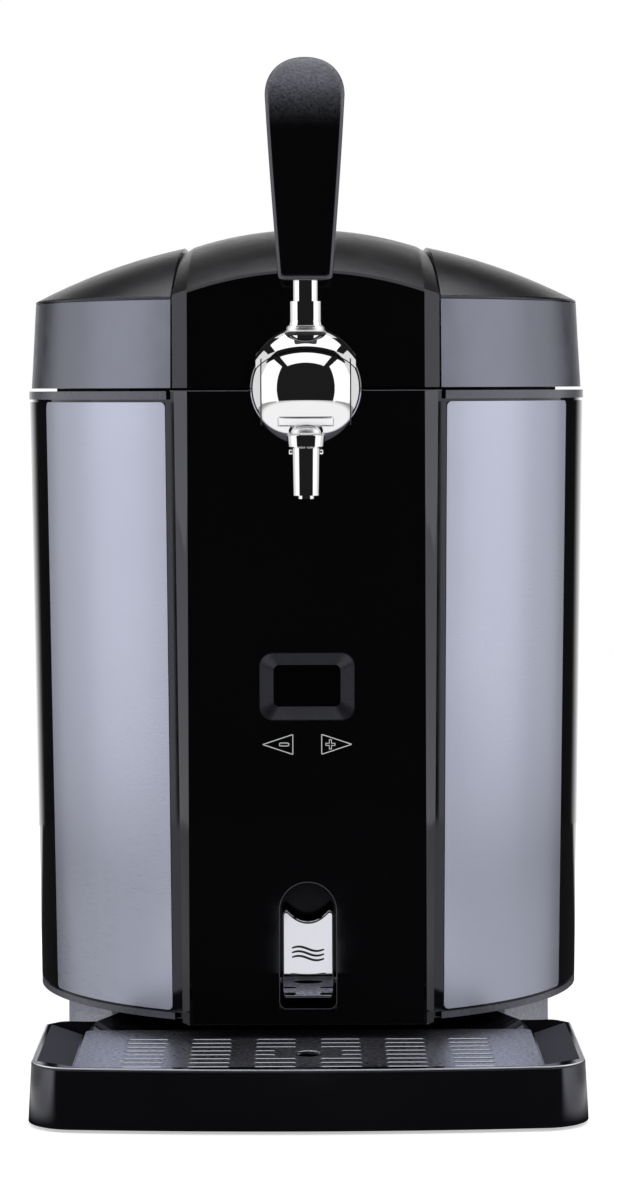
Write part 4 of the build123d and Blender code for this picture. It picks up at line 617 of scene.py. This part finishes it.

# A washer under the stem's collar, and a dark ring on the visor round it, a painted reflection:
# radius, height and half sizes of the section.
WASHER = (0.0078, 0.3572, 0.0009, 0.0017)
REFLECTION_RING = (0.0086, 0.3549, 0.0006, 0.0006)
stem_foot = (0.0, TAP.y - STEM_AHEAD, 0.0)
washer = turned(round_section(*WASHER), stem_foot, "Z")
make("collar_washer", washer, "frost", "tap_lever")
ring = turned(round_section(*REFLECTION_RING), stem_foot, "Z")
make("collar_reflection_ring", ring, "rubber", "tap_lever")

# A cross pin, whose rounded ends stand out beside the spout as two lugs.
LUG_PROFILE = (
    (0.0002, -0.0079), (0.0011, -0.0077), (0.0013, -0.0072),
    (0.0013, 0.0072), (0.0011, 0.0077), (0.0002, 0.0079),
)
LUG_CENTRE = (0.0, TAP.y - SPOUT_AHEAD + 0.002, 0.3014)
lugs = turned(LUG_PROFILE, LUG_CENTRE, "X", 24)
make("spout_lugs", lugs, "chrome", "cabinet")

# A frosted shoulder above them, between the ball and the spout.
SHOULDER_PROFILE = (
    (0.0003, 0.3149), (0.0022, 0.3147), (0.0046, 0.3138), (0.0060, 0.3126),
    (0.0068, 0.3110), (0.0069, 0.3092), (0.0003, 0.3092),
)
SHOULDER_CENTRE = (0.0, TAP.y - SPOUT_AHEAD - 0.0012, 0.0)
shoulder = turned(SHOULDER_PROFILE, SHOULDER_CENTRE, "Z")
make("spout_shoulder", shoulder, "frost", "cabinet")

# A frosted plate in a thin black frame fills the recess under the ball.
RECESS_HALF, RECESS_LOW, RECESS_HIGH = 0.0126, 0.3133, 0.3173
RECESS_CORNER = 0.0010
PLATE_ACROSS, PLATE_UP = 24, 5
PLATE_PROUD, PLATE_THICK = 0.00002, 0.0003
FRAME_PROUD, FRAME_RADIUS, FRAME_SIDES = 0.00006, 0.00015, 6
recess_corners = [
    Vector((-RECESS_HALF, RECESS_LOW)), Vector((RECESS_HALF, RECESS_LOW)),
    Vector((RECESS_HALF, RECESS_HIGH)), Vector((-RECESS_HALF, RECESS_HIGH)),
]


def on_ball(x, z, proud):
    """A point of the ball's front, so far proud of it."""
    flat = x * x + (z - TAP.z) ** 2
    return (x, TAP.y - math.sqrt((BALL + proud) ** 2 - flat), z)


def recess_frame():
    """A round wire along the recess's edge, on the ball."""
    line = []
    for k, here in enumerate(recess_corners):
        back, ahead = recess_corners[k - 1], recess_corners[(k + 1) % 4]
        start = here + (back - here).normalized() * RECESS_CORNER
        end = here + (ahead - here).normalized() * RECESS_CORNER
        stop = ahead + (here - ahead).normalized() * RECESS_CORNER
        line += corner_curve(start, here, end)
        steps = PLATE_ACROSS if ahead.x != here.x else PLATE_UP
        line += [end.lerp(stop, step / steps) for step in range(1, steps)]
    rings = []
    for k, here in enumerate(line):
        across = sideways(line[k - 1], line[(k + 1) % len(line)])
        ring = []
        for step in range(FRAME_SIDES):
            turn = 2 * math.pi * step / FRAME_SIDES
            x, z = here + across * FRAME_RADIUS * math.cos(turn)
            ring.append(on_ball(x, z, FRAME_PROUD + FRAME_RADIUS * math.sin(turn)))
        rings.append(ring)
    return looped(rings)


plate_points = []
for j in range(PLATE_UP + 1):
    z = RECESS_LOW + (RECESS_HIGH - RECESS_LOW) * j / PLATE_UP
    for i in range(PLATE_ACROSS + 1):
        plate_points.append(on_ball(RECESS_HALF * (2 * i / PLATE_ACROSS - 1), z, PLATE_PROUD))
plate_shape = (plate_points, grid_faces(PLATE_ACROSS + 1, PLATE_UP + 1))
plate = make("spout_recess_plate", plate_shape, "frost", "cabinet")
backing = plate.modifiers.new("thick", "SOLIDIFY")
backing.thickness = PLATE_THICK
backing.offset = -1.0
make("spout_recess_frame", recess_frame(), "rubber", "cabinet")


# ------------------------------------------------ tap handle

HANDLE_Y = TAP.y - STEM_AHEAD
HANDLE_LOW, HANDLE_WIDEST, HANDLE_HIGH = 0.3793, 0.4630, 0.4815
HANDLE_EDGE = 0.0030
# Half width at the foot, what it gains up to the widest height, how much of that comes early,
# and the power of the rounded top.
FOOT_WIDE, SWELL, EARLY, TOP_POWER = 0.0123, 0.0058, 0.12, 2.1
# Height where a face starts to roll over the top, then its depth at the foot, its lean up to
# that height and its roll.
FRONT_FACE = (0.4500, -0.0105, -0.0020, 0.0190)
BACK_FACE = (0.4660, 0.0095, 0.0030, -0.0058)
# Rings that round the foot's edge, as (height over the foot, inset).
FOOT_RINGS = ((0.0, 0.0014), (0.0005, 0.0005), (0.0015, 0.0))
BODY_STEPS, TOP_STEPS, CORNER_STEPS = 24, 28, 8
# The last ring stays this share of the way to the top, and no ring is smaller than these.
TOP_SHARE = 0.995
LEAST_HALF, LEAST_DEEP = 0.0002, 0.0001


def handle_half(z):
    """Half width of the handle at a height."""
    if z <= HANDLE_WIDEST:
        share = (z - HANDLE_LOW) / (HANDLE_WIDEST - HANDLE_LOW)
        return FOOT_WIDE + SWELL * ((1 + EARLY) * share - EARLY * share**3)
    rise = (z - HANDLE_WIDEST) / (HANDLE_HIGH - HANDLE_WIDEST)
    return (FOOT_WIDE + SWELL) * max(1 - rise**TOP_POWER, 0.0) ** (1 / TOP_POWER)


def handle_face(z, roll_z, foot, lean, roll):
    """Depth of the front or back face at a height: it leans, then rolls over the top."""
    share = min((z - HANDLE_LOW) / (roll_z - HANDLE_LOW), 1.0)
    rise = min(max((z - roll_z) / (HANDLE_HIGH - roll_z), 0.0), 1.0)
    return foot + lean * share + roll * (1 - math.sqrt(1 - rise**2))


def handle_ring(z, inset=0.0):
    """Rounded rectangle round the handle at a height."""
    half = max(handle_half(z) - inset, LEAST_HALF)
    front, back = handle_face(z, *FRONT_FACE) + inset, handle_face(z, *BACK_FACE) - inset
    middle, deep = (front + back) / 2, max((back - front) / 2, LEAST_DEEP)
    round_x, round_y = min(HANDLE_EDGE, half * 0.9), min(HANDLE_EDGE, deep * 0.9)
    ring = []
    for quarter in range(4):
        side_x = 1 if quarter in (0, 3) else -1
        side_y = 1 if quarter in (0, 1) else -1
        for step in range(CORNER_STEPS + 1):
            turn = math.radians(90 * quarter + 90 * step / CORNER_STEPS)
            x = side_x * (half - round_x) + round_x * math.cos(turn)
            y = middle + side_y * (deep - round_y) + round_y * math.sin(turn)
            ring.append((x, HANDLE_Y + y, z))
    return ring


handle_rings = [handle_ring(HANDLE_LOW + rise, inset) for rise, inset in FOOT_RINGS]
body_low = HANDLE_LOW + FOOT_RINGS[-1][0]
for step in range(1, BODY_STEPS + 1):
    handle_rings.append(handle_ring(body_low + (HANDLE_WIDEST - body_low) * step / BODY_STEPS))
for step in range(1, TOP_STEPS + 1):
    rise = math.sin(math.pi / 2 * step / TOP_STEPS * TOP_SHARE)
    handle_rings.append(handle_ring(HANDLE_WIDEST + (HANDLE_HIGH - HANDLE_WIDEST) * rise))
handle = make("tap_handle_dressed", capped(handle_rings), "handle", "tap_lever")
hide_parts("tap_handle")


# ------------------------------------------------ tray rim highlight

def arc_through(first, middle, last, steps):
    """Points on the circle through three plan points, from the first to the last."""
    (ax, ay), (bx, by), (cx, cy) = first, middle, last
    d = 2 * (ax * (by - cy) + bx * (cy - ay) + cx * (ay - by))
    a2, b2, c2 = ax * ax + ay * ay, bx * bx + by * by, cx * cx + cy * cy
    centre = Vector((
        (a2 * (by - cy) + b2 * (cy - ay) + c2 * (ay - by)) / d,
        (a2 * (cx - bx) + b2 * (ax - cx) + c2 * (bx - ax)) / d,
    ))
    radius = (Vector(first) - centre).length
    start = math.atan2(ay - centre.y, ax - centre.x)
    sweep = math.atan2(cy - centre.y, cx - centre.x) - start
    sweep = (sweep + math.pi) % (2 * math.pi) - math.pi
    turns = [start + sweep * k / steps for k in range(steps + 1)]
    return [centre + radius * Vector((math.cos(turn), math.sin(turn))) for turn in turns]


# A bright steel wire along the tray's black rim is a painted highlight of its rounded edge.
# Plan of the tray's edge: the bowed front, the right corner and the straight side behind it.
TRAY_FRONT = -0.2093
CORNER_START = (0.1040, TRAY_FRONT + 0.0052)
CORNER_MIDDLE = (0.1195, TRAY_FRONT + 0.0125)
CORNER_END = (0.1247, TRAY_FRONT + 0.0260)
SIDE_STEP, SIDE_STEPS = 0.0085, 10
# The line lies so far inside the edge, at this height.
RIM_INSET, RIM_Z, RIM_RADIUS = 0.0006, 0.02825, 0.00035

corner_line = arc_through(CORNER_START, CORNER_MIDDLE, CORNER_END, 16)
front_line = arc_through((-CORNER_START[0], CORNER_START[1]), (0.0, TRAY_FRONT), CORNER_START, 40)
side_line = [
    Vector((CORNER_END[0], CORNER_END[1] + SIDE_STEP * k)) for k in range(1, SIDE_STEPS + 1)
]
right_line = corner_line[1:] + side_line
plan = [Vector((-p.x, p.y)) for p in reversed(right_line)] + front_line + right_line
rim_highlight_line = []
for k, here in enumerate(plan):
    inward = sideways(plan[max(k - 1, 0)], plan[min(k + 1, len(plan) - 1)]) * RIM_INSET
    rim_highlight_line.append(Vector((here.x + inward.x, here.y + inward.y, RIM_Z)))
make("tray_rim_highlight", wire(rim_highlight_line, RIM_RADIUS), "rim", "tray")


# ------------------------------------------------ lid seam

# The drum's axis, and the gasket's outer radius, width, heights and ends in degrees.
AXIS_Y = 0.0262
GASKET_RADIUS, GASKET_WIDE = 0.127, 0.003
GASKET_LOW, GASKET_HIGH = 0.3290, 0.3307
GASKET_START, GASKET_END = 42, 150


def arc_strip(radius, wide, low, high, start, end, steps=72):
    """A flat-topped strip on a circle round the cabinet's axis, by degrees from the front."""
    rings = []
    for step in range(steps + 1):
        turn = math.radians(start + (end - start) * step / steps)
        ring = []
        for r, z in ((radius - wide, low), (radius, low), (radius, high), (radius - wide, high)):
            ring.append((r * math.sin(turn), AXIS_Y - r * math.cos(turn), z))
        rings.append(ring)
    return capped(rings)


for name, side in SIDES:
    ends = (side * GASKET_START, side * GASKET_END)
    strip = arc_strip(GASKET_RADIUS, GASKET_WIDE, GASKET_LOW, GASKET_HIGH, *ends)
    make(f"seam_gasket_{name}", strip, "rubber", "cabinet", False)


# ------------------------------------------------ drain lever

# Half width, then the heights of the foot, of the bend, of the hollow's floor and of the horns.
LEVER_HALF = 0.0122
LEVER_FOOT = 0.0416
LEVER_BEND = 0.0530
LEVER_HOLLOW = 0.0789
LEVER_HORN = 0.0844
LEVER_THICK = 0.0030
# The lever lies so far behind the tower's face, and its foot curls back by so much more.
LEVER_SINK, LEVER_CURL = 0.0008, 0.0034
# The horns stand at this share of the half width, and drop outside it.
HORN_SHARE, HORN_DROP = 0.82, 0.0022
# The foot's corners are cut over so many rows.
CUT_ROWS, CUT_DEEP = 3, 0.0012
LEVER_ACROSS, LEVER_UP = 28, 30
# Barrel round the pin: its bore, radius, half length, height and place behind the face.
BARREL_BORE, BARREL_RADIUS, BARREL_HALF = 0.0016, 0.0042, 0.0098
BARREL_Z, BARREL_BEHIND = 0.050, 0.0076

# The tower's face leans forward as it rises from a foot of (y, z).
LEAN = 0.0053 / 0.300
FOOT_FACE = (-0.1093, 0.030)


def tower_y(z):
    """Front face of the centre tower at a height."""
    return FOOT_FACE[0] - LEAN * (z - FOOT_FACE[1])


def lever_top(share):
    """Hollowed top edge of the lever, by the share of its half width."""
    share = abs(share)
    if share < HORN_SHARE:
        return LEVER_HOLLOW + (LEVER_HORN - LEVER_HOLLOW) * (share / HORN_SHARE) ** 2.1
    return LEVER_HORN - HORN_DROP * ((share - HORN_SHARE) / (1 - HORN_SHARE)) ** 2


def lever_sheet(behind):
    """Points of the lever's front, row by row, moved back by a distance."""
    points = []
    for j in range(LEVER_UP + 1):
        rise = j / LEVER_UP
        cut = max(0.0, 1 - rise * LEVER_UP / CUT_ROWS) ** 2 * CUT_DEEP
        for i in range(LEVER_ACROSS + 1):
            share = 2 * i / LEVER_ACROSS - 1
            z = LEVER_FOOT + (lever_top(share) - LEVER_FOOT) * rise
            under = max(0.0, (LEVER_BEND - z) / (LEVER_BEND - LEVER_FOOT))
            y = tower_y(z) + LEVER_SINK + LEVER_CURL * under**1.5 + behind
            points.append((share * (LEVER_HALF - cut), y, z))
    return points


def lever_plate():
    """The lever's sheet: a front, a back and a border between them."""
    wide, tall = LEVER_ACROSS + 1, LEVER_UP + 1
    behind = wide * tall
    faces = []
    for quad in grid_faces(wide, tall):
        faces.append(quad)
        faces.append(tuple(behind + k for k in reversed(quad)))
    border = [*range(wide - 1), *range(wide - 1, behind - 1, wide)]
    border += [*range(behind - 1, behind - wide, -1), *range(behind - wide, 0, -wide)]
    for number, one in enumerate(border):
        two = border[(number + 1) % len(border)]
        faces.append((one, two, two + behind, one + behind))
    return lever_sheet(0.0) + lever_sheet(LEVER_THICK), faces


barrel = turned(
    (
        (BARREL_BORE, -BARREL_HALF), (BARREL_RADIUS, -BARREL_HALF),
        (BARREL_RADIUS, BARREL_HALF), (BARREL_BORE, BARREL_HALF),
    ),
    (0.0, tower_y(BARREL_Z) + BARREL_BEHIND, BARREL_Z),
    "X",
    48,
)
lever_shape = joined(lever_plate(), barrel)
lever = make("drain_lever_dressed", lever_shape, "lever", "drain_lever")
rounding = lever.modifiers.new("rounded", "BEVEL")
rounding.width = 0.001
rounding.segments = 4
rounding.limit_method = "ANGLE"
rounding.angle_limit = math.radians(50)
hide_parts("drain_lever")


# ------------------------------------------------ panel details

# A light line runs along the top edge of the front panel, on both sides of the ball.
EDGE_NEAR, EDGE_FAR, EDGE_Z = 0.0255, 0.0640, 0.3293
EDGE_RADIUS, EDGE_STEPS = 0.0002, 8
for name, ends in (("left", (-EDGE_FAR, -EDGE_NEAR)), ("right", (EDGE_NEAR, EDGE_FAR))):
    edge_line = []
    for step in range(EDGE_STEPS + 1):
        x = ends[0] + (ends[1] - ends[0]) * step / EDGE_STEPS
        edge_line.append(Vector((x, tower_y(EDGE_Z), EDGE_Z)))
    line = wire(edge_line, EDGE_RADIUS)
    make(f"panel_edge_{name}", line, "trim", "cabinet")

# A dark sheet that takes almost no reflection covers the foot of the panel, round the drain niche:
# painted shade.
FOOT_HALF, FOOT_LOW, FOOT_HIGH = 0.0546, 0.0304, 0.0545
GAP_HALF, GAP_LOW = 0.0138, 0.0373
SHADE_PROUD, SHADE_SUNK = 0.00010, 0.00003
foot_shade_line = [
    (-FOOT_HALF, FOOT_LOW), (FOOT_HALF, FOOT_LOW), (FOOT_HALF, FOOT_HIGH), (GAP_HALF, FOOT_HIGH),
    (GAP_HALF, GAP_LOW), (-GAP_HALF, GAP_LOW), (-GAP_HALF, FOOT_HIGH), (-FOOT_HALF, FOOT_HIGH),
]
foot_shade_points = [(x, tower_y(z) - SHADE_PROUD, z) for x, z in foot_shade_line]
foot_shade_points += [(x, tower_y(z) + SHADE_SUNK, z) for x, z in foot_shade_line]
count = len(foot_shade_line)
caps = [(0, 1, 4, 5), (1, 2, 3, 4), (0, 5, 6, 7)]
caps += [tuple(count + k for k in reversed(cap)) for cap in caps]
walls = [(k, (k + 1) % count, (k + 1) % count + count, k + count) for k in range(count)]
foot_shade_shape = (foot_shade_points, caps + walls)
make("panel_foot_painted_shade", foot_shade_shape, "shade_sheet", "cabinet", False)


# ------------------------------------------------ tray slopes and their painted shade

# Which faces of the tray are slopes, by the Z of their normal, and the sheet's lift and thickness.
SLOPE_LOW, SLOPE_HIGH = -0.05, 0.9
SKIN_LIFT, SKIN_THICK = 0.00008, 0.00006
TRAY_MIDDLE = Vector((0.0, -0.135, 0.0))


def skin(node, low, high, lift, thick, centre):
    """A thin closed sheet on those inner faces of a node whose slope is between two values."""
    work = welded(node)
    kept = []
    for face in work.faces:
        toward = centre - face.calc_center_median()
        inner = face.normal.x * toward.x + face.normal.y * toward.y > 0
        if inner and low < face.normal.z < high:
            kept.append(face)
    order, pushes = {}, {}
    for face in kept:
        for v in face.verts:
            order.setdefault(v.index, len(order))
            pushes.setdefault(v.index, []).append(face.normal.copy())
    tops, bottoms, faces, sides = [None] * len(order), [None] * len(order), [], {}
    for face in kept:
        ring = [order[v.index] for v in face.verts]
        faces.append(tuple(ring))
        faces.append(tuple(len(order) + k for k in reversed(ring)))
        for here, there in zip(ring, ring[1:] + ring[:1]):
            if not sides.pop((there, here), False):
                sides[(here, there)] = True
        for v in face.verts:
            way = sum(pushes[v.index], Vector()).normalized()
            tops[order[v.index]] = tuple(v.co + way * lift)
            bottoms[order[v.index]] = tuple(v.co + way * (lift - thick))
    work.free()
    for here, there in sides:
        faces.append((there, here, here + len(order), there + len(order)))
    return tops + bottoms, faces


# A dark sheet that takes almost no reflection lies over the slopes as painted shade.
slope_shade = skin("drip_tray", SLOPE_LOW, SLOPE_HIGH, SKIN_LIFT, SKIN_THICK, TRAY_MIDDLE)
make("tray_slope_painted_shade", slope_shade, "shade_sheet", "tray", False)


# ------------------------------------------------ grille slot edges

# How far a chamfer reaches in and down, how far its rim stands out and up, and how deep it goes.
CHAMFER_IN, CHAMFER_DOWN = 0.00024, 0.00022
CHAMFER_OUT, CHAMFER_UP, CHAMFER_DEEP = 0.00004, 0.00003, 0.0002
# A loop wider than this is the plate's own border.
WIDEST_SLOT = 0.1


def slot_edges(node, inset, drop):
    """Bright chamfers down into every opening of a flat plate, read from the plate's own edges."""
    work = welded(node)
    top = max(v.co.z for v in work.verts)
    inward, links = {}, {}
    for edge in work.edges:
        if len(edge.link_faces) != 2 or any(abs(v.co.z - top) > 1e-5 for v in edge.verts):
            continue
        walls = [face for face in edge.link_faces if abs(face.normal.z) < 0.5]
        flats = [face for face in edge.link_faces if face.normal.z > 0.5]
        if not (walls and flats):
            continue
        for v, w in (edge.verts, reversed(edge.verts)):
            inward.setdefault(v.index, []).append(walls[0].normal.copy())
            links.setdefault(v.index, []).append(w.index)
    co = [v.co.copy() for v in work.verts]
    work.free()
    shapes, seen = [], set()
    for start in sorted(links):
        if start in seen:
            continue
        loop, here, before = [], start, None
        while here not in seen:
            seen.add(here)
            loop.append(here)
            ahead = [k for k in links[here] if k != before and k not in seen]
            before, here = here, ahead[0] if ahead else start
        span = max(co[k].x for k in loop) - min(co[k].x for k in loop)
        if span > WIDEST_SLOT or len(loop) < 4:
            continue
        rings = []
        for k in loop:
            way = sum(inward[k], Vector((0.0, 0.0, 0.0))) / len(inward[k])
            way = way / max(way.length_squared, 0.5)
            rim, low = co[k] - way * CHAMFER_OUT, co[k] + way * inset
            rings.append([
                (rim.x, rim.y, top + CHAMFER_UP),
                (low.x, low.y, top - drop),
                (rim.x, rim.y, top - drop - CHAMFER_DEEP),
            ])
        shapes.append(looped(rings))
    return joined(*shapes)


slot_shape = slot_edges("drip_grille", CHAMFER_IN, CHAMFER_DOWN)
make("grille_slot_edges", slot_shape, "edge", "grille", False)


# ------------------------------------------------ marks on the front

# A raised line stands so far proud of the tower's face and starts so far behind it. At a sharp
# corner it widens no more than this share allows.
LINE_HIGH, LINE_BASE = 0.00014, 0.00002
MITRE_SHARE = 0.35


def around(corners, k):
    """A corner of a closed line, between those before and after it."""
    return (Vector(corners[(k + d) % len(corners)]) for d in (-1, 0, 1))


def outline(corners, width, side=1, middle_z=0.0):
    """A raised closed line of one width along corners of (x, height), on the tower's face."""
    rings = []
    for k in range(len(corners)):
        before, here, after = around(corners, k)
        first, second = (here - before).normalized(), (after - here).normalized()
        across = Vector((-first.y - second.y, first.x + second.x)).normalized()
        reach = width / 2 / max(across.dot(Vector((-first.y, first.x))), MITRE_SHARE)
        ring = []
        for sign, depth in ((1, 0.0), (1, LINE_HIGH), (-1, LINE_HIGH), (-1, 0.0)):
            x, z = here + across * reach * sign
            z += middle_z
            ring.append((side * x, tower_y(z) - depth + LINE_BASE, z))
        rings.append(ring)
    return looped(rings)


def soft_corners(corners, radius):
    """The corners of a closed line, each cut by a short curve."""
    made = []
    for k in range(len(corners)):
        before, here, after = around(corners, k)
        start = here + (before - here).normalized() * radius
        end = here + (after - here).normalized() * radius
        made += corner_curve(start, here, end)
    return made


# The arch of the drain niche is outlined by a fine raised line of light trim, a painted highlight
# of the niche's rounded edge.
NICHE_HALF, NICHE_LOW, ARCH_Z, NICHE_CORNER = 0.01345, 0.0376, 0.0841, 0.0034
NICHE_WIDTH = 0.0003
ARCH_STEPS, NICHE_STEPS = 32, 6
arch = []
for step in range(ARCH_STEPS + 1):
    turn = math.pi * step / ARCH_STEPS
    arch.append((NICHE_HALF * math.cos(turn), ARCH_Z + NICHE_HALF * math.sin(turn)))
for side in (-1, 1):
    for step in range(NICHE_STEPS + 1):
        part = 90 * step / NICHE_STEPS
        turn = math.radians(part if side < 0 else 90 - part)
        x = side * (NICHE_HALF - NICHE_CORNER + NICHE_CORNER * math.cos(turn))
        arch.append((x, NICHE_LOW + NICHE_CORNER - NICHE_CORNER * math.sin(turn)))
make("niche_outline_highlight", outline(arch, NICHE_WIDTH), "trim", "cabinet", False)

# Three thick waves on the lever, which taper to their ends.
WAVE_ROWS = (0.0659, 0.0637, 0.0615)
WAVE_HALF, WAVE_HIGH, WAVE_LONG, WAVE_CREST = 0.0076, 0.00105, 0.0169, -0.0044
WAVE_WIDE, WAVE_TAPER, WAVE_STEPS = 0.00052, 0.45, 40
WAVE_PROUD, WAVE_SUNK = 0.00016, 0.00004
waves = []
for wave_z in WAVE_ROWS:
    rings = []
    for step in range(WAVE_STEPS + 1):
        x = WAVE_HALF * (2 * step / WAVE_STEPS - 1)
        swing = 2 * math.pi * (x - WAVE_CREST) / WAVE_LONG
        z = wave_z + WAVE_HIGH * math.cos(swing)
        slope = -WAVE_HIGH * 2 * math.pi / WAVE_LONG * math.sin(swing)
        bulge = math.sqrt(max(1 - (x / WAVE_HALF) ** 2, 0.0))
        taper = 1 - WAVE_TAPER + WAVE_TAPER * bulge
        across = Vector((-slope, 1.0)).normalized() * WAVE_WIDE * taper
        ring = []
        for sign, depth in ((1, -WAVE_SUNK), (1, WAVE_PROUD), (-1, WAVE_PROUD), (-1, -WAVE_SUNK)):
            px, pz = x + sign * across.x, z + sign * across.y
            ring.append((px, tower_y(pz) + LEVER_SINK - depth, pz))
        rings.append(ring)
    waves.append(capped(rings))
wave_marks = make("drain_waves", joined(*waves), "wave", "drain_lever", False)
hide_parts("drain_symbol")

# The touch keys: a triangle's near edge, length and height, and the sign inside it.
KEY_Z = 0.1626
KEY_NEAR, KEY_LENGTH, KEY_HIGH = 0.0068, 0.0142, 0.0094
KEY_WIDTH, KEY_SOFT = 0.00038, 0.0004
SIGN_X, ARM, BAR, DASH = 0.0109, 0.0022, 0.0005, 0.0007
triangle = [(KEY_NEAR, -KEY_HIGH / 2), (KEY_NEAR + KEY_LENGTH, 0.0), (KEY_NEAR, KEY_HIGH / 2)]
minus = [(-ARM, -DASH), (ARM, -DASH), (ARM, DASH), (-ARM, DASH)]
plus = [
    (-ARM, -BAR), (-BAR, -BAR), (-BAR, -ARM), (BAR, -ARM), (BAR, -BAR), (ARM, -BAR),
    (ARM, BAR), (BAR, BAR), (BAR, ARM), (-BAR, ARM), (-BAR, BAR), (-ARM, BAR),
]
marks = []
for side, sign, soft, width in ((-1, minus, 0.0006, 0.00036), (1, plus, 0.0001, 0.0003)):
    placed = [(SIGN_X + x, z) for x, z in sign]
    marks.append(outline(soft_corners(triangle, KEY_SOFT), KEY_WIDTH, side, KEY_Z))
    marks.append(outline(soft_corners(placed, soft), width, side, KEY_Z))
key_marks = make("key_marks", joined(*marks), "print", "cabinet", False)
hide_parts("key_symbols")


# ------------------------------------------------ stage, light and camera

# A round white table. To the camera it glows up to the white of the backdrop, under the shadow.
FLOOR_RADIUS, FLOOR_STEPS = 0.9, 120
pale = Look("pale_floor")
reach = pale.node("ShaderNodeVectorMath", {0: pale.coords}, operation="LENGTH").outputs["Value"]
glow = pale.spread(reach, 0.5, 1.0, start=0.42, end=0.8)
pale.set(colour=pale.shades(pale.noise(6.0, 3.0), 0.80, 0.82), rough=0.8, specular=0.0)
pale.feed(pale.shader.inputs["Emission Color"], (1.0, 1.0, 1.0, 1.0))
pale.feed(pale.shader.inputs["Emission Strength"], pale.by_ray(glow, 0.0, 0.0))

# In a mirror the table shines by masks of its own: where it is looked at from above,
facing = pale.node("ShaderNodeLayerWeight", {"Blend": 0.5}).outputs["Facing"]
upward = pale.spread(facing, 1.1, 0.02, start=0.52, end=0.68)
# beside the object, brighter towards the back and in the flattest view,
aside, depth = pale.maths("ABSOLUTE", pale.axis("X")), pale.axis("Y")
ahead = pale.plus(aside, pale.times(depth, 1.43))
flat_level = pale.spread(facing, 0.4, 1.9, start=0.86, end=0.9)
near_level = pale.spread(ahead, 0.95, 0.4, start=-0.02, end=0.08)
rear_slant = pale.minus(depth, pale.times(aside, 0.84))
beside = pale.times(
    pale.times(pale.rising(aside, 0.13, 0.18), pale.larger(flat_level, near_level)),
    pale.times(pale.rising(ahead, -0.2, -0.1), pale.falling(rear_slant, -0.2, -0.1)),
)
# on a narrow card in front, which is seen in the drain lever alone,
card = pale.times(pale.falling(aside, 0.0152, 0.016), pale.rising(depth, -0.575, -0.555))
card = pale.times(card, pale.falling(depth, -0.36, -0.35, top=1.1))
card = pale.times(card, pale.falling(facing, 0.84, 0.88))
# and straight behind the object.
behind = pale.rising(pale.minus(depth, pale.times(aside, 1.5)), 0.04, 0.2)
shine = pale.larger(pale.larger(pale.larger(upward, beside), card), behind)
mirror_light = pale.node("ShaderNodeEmission", {"Strength": shine}).outputs["Emission"]
in_mirror = pale.node("ShaderNodeLightPath").outputs["Is Glossy Ray"]
plain = pale.shader.outputs["BSDF"]
either = pale.node("ShaderNodeMixShader", {"Fac": in_mirror, 1: plain, 2: mirror_light})
pale.feed(pale.tree.nodes["Material Output"].inputs["Surface"], either.outputs["Shader"])

turns = [2 * math.pi * step / FLOOR_STEPS for step in range(FLOOR_STEPS)]
rim = [(FLOOR_RADIUS * math.cos(turn), FLOOR_RADIUS * math.sin(turn), 0.0) for turn in turns]
mesh = bpy.data.meshes.new("floor")
mesh.from_pydata(rim, [], [tuple(range(FLOOR_STEPS))])
mesh.materials.append(pale.material)
floor = bpy.data.objects.new("floor", mesh)
bpy.context.collection.objects.link(floor)

# The backdrop is white to the camera. Mirrored, it is a white sheet low behind the object.
SHEET_LEAST, SKY_LIGHT = 0.014, 0.35
world = bpy.data.worlds.new("studio")
bpy.context.scene.world = world
world.use_nodes = True
sky = Nodes(world.node_tree, "Generated")
rearward = sky.rising(sky.axis("Y"), 0.86, 0.985)
level = sky.falling(sky.maths("ABSOLUTE", sky.axis("Z")), 0.08, 0.48)
sheet = sky.larger(sky.times(rearward, level), SHEET_LEAST)
backdrop = world.node_tree.nodes["Background"].inputs
sky.feed(backdrop["Strength"], sky.by_ray(1.0, sheet, SKY_LIGHT))
sky.feed(backdrop["Color"], (1.0, 1.0, 1.0, 1.0))


def softbox(name, size, radiance, place, aim):
    """Area light of one even brightness, hidden from the camera itself."""
    light = bpy.data.lights.new(name, "AREA")
    light.shape = "RECTANGLE"
    light.size, light.size_y = size
    light.energy = radiance * math.pi * size[0] * size[1]
    holder = bpy.data.objects.new(name, light)
    holder.location = place
    direction = Vector(aim) - Vector(place)
    holder.rotation_euler = direction.to_track_quat("-Z", "Y").to_euler()
    holder.visible_camera = False
    bpy.context.collection.objects.link(holder)


# How far out the side lights stand, and how far ahead or behind.
LIGHT_X, FRONT_Y, REAR_Y = 1.3, -0.385, 0.6
for name, side in SIDES:
    x = side * LIGHT_X
    softbox(f"{name}_softbox", (1.07, 1.2), 1.4, (x, FRONT_Y, 0.9), (0.0, FRONT_Y, 0.9))
    softbox(f"{name}_low_softbox", (1.07, 0.6), 1.25, (x, FRONT_Y, 0.0), (0.0, FRONT_Y, 0.0))
    softbox(f"{name}_rear_softbox", (0.9, 1.8), 0.85, (x, REAR_Y, 0.6), (0.0, REAR_Y, 0.6))
softbox("top_softbox", (2.1, 2.05), 1.3, (0.0, -0.14, 1.6), (0.0, -0.14, 0.0))
softbox("rear_softbox", (1.8, 0.8), 0.9, (0.0, 1.35, 2.0), (0.0, 0.0, 0.3))

# The camera looks level at the tap's height, and its frame is shifted down to the object.
camera_data = bpy.data.cameras.new("camera")
camera_data.sensor_fit = "VERTICAL"
camera_data.sensor_height = 36.0
camera_data.lens = 103.35
camera_data.shift_y = -0.1758
camera = bpy.data.objects.new("camera", camera_data)
camera.location = (0.0017, -1.7346, 0.330)
camera.rotation_euler = (math.radians(90.0), math.radians(0.22), 0.0)
bpy.context.collection.objects.link(camera)
bpy.context.scene.camera = camera
bpy.context.scene.view_settings.view_transform = "Standard"
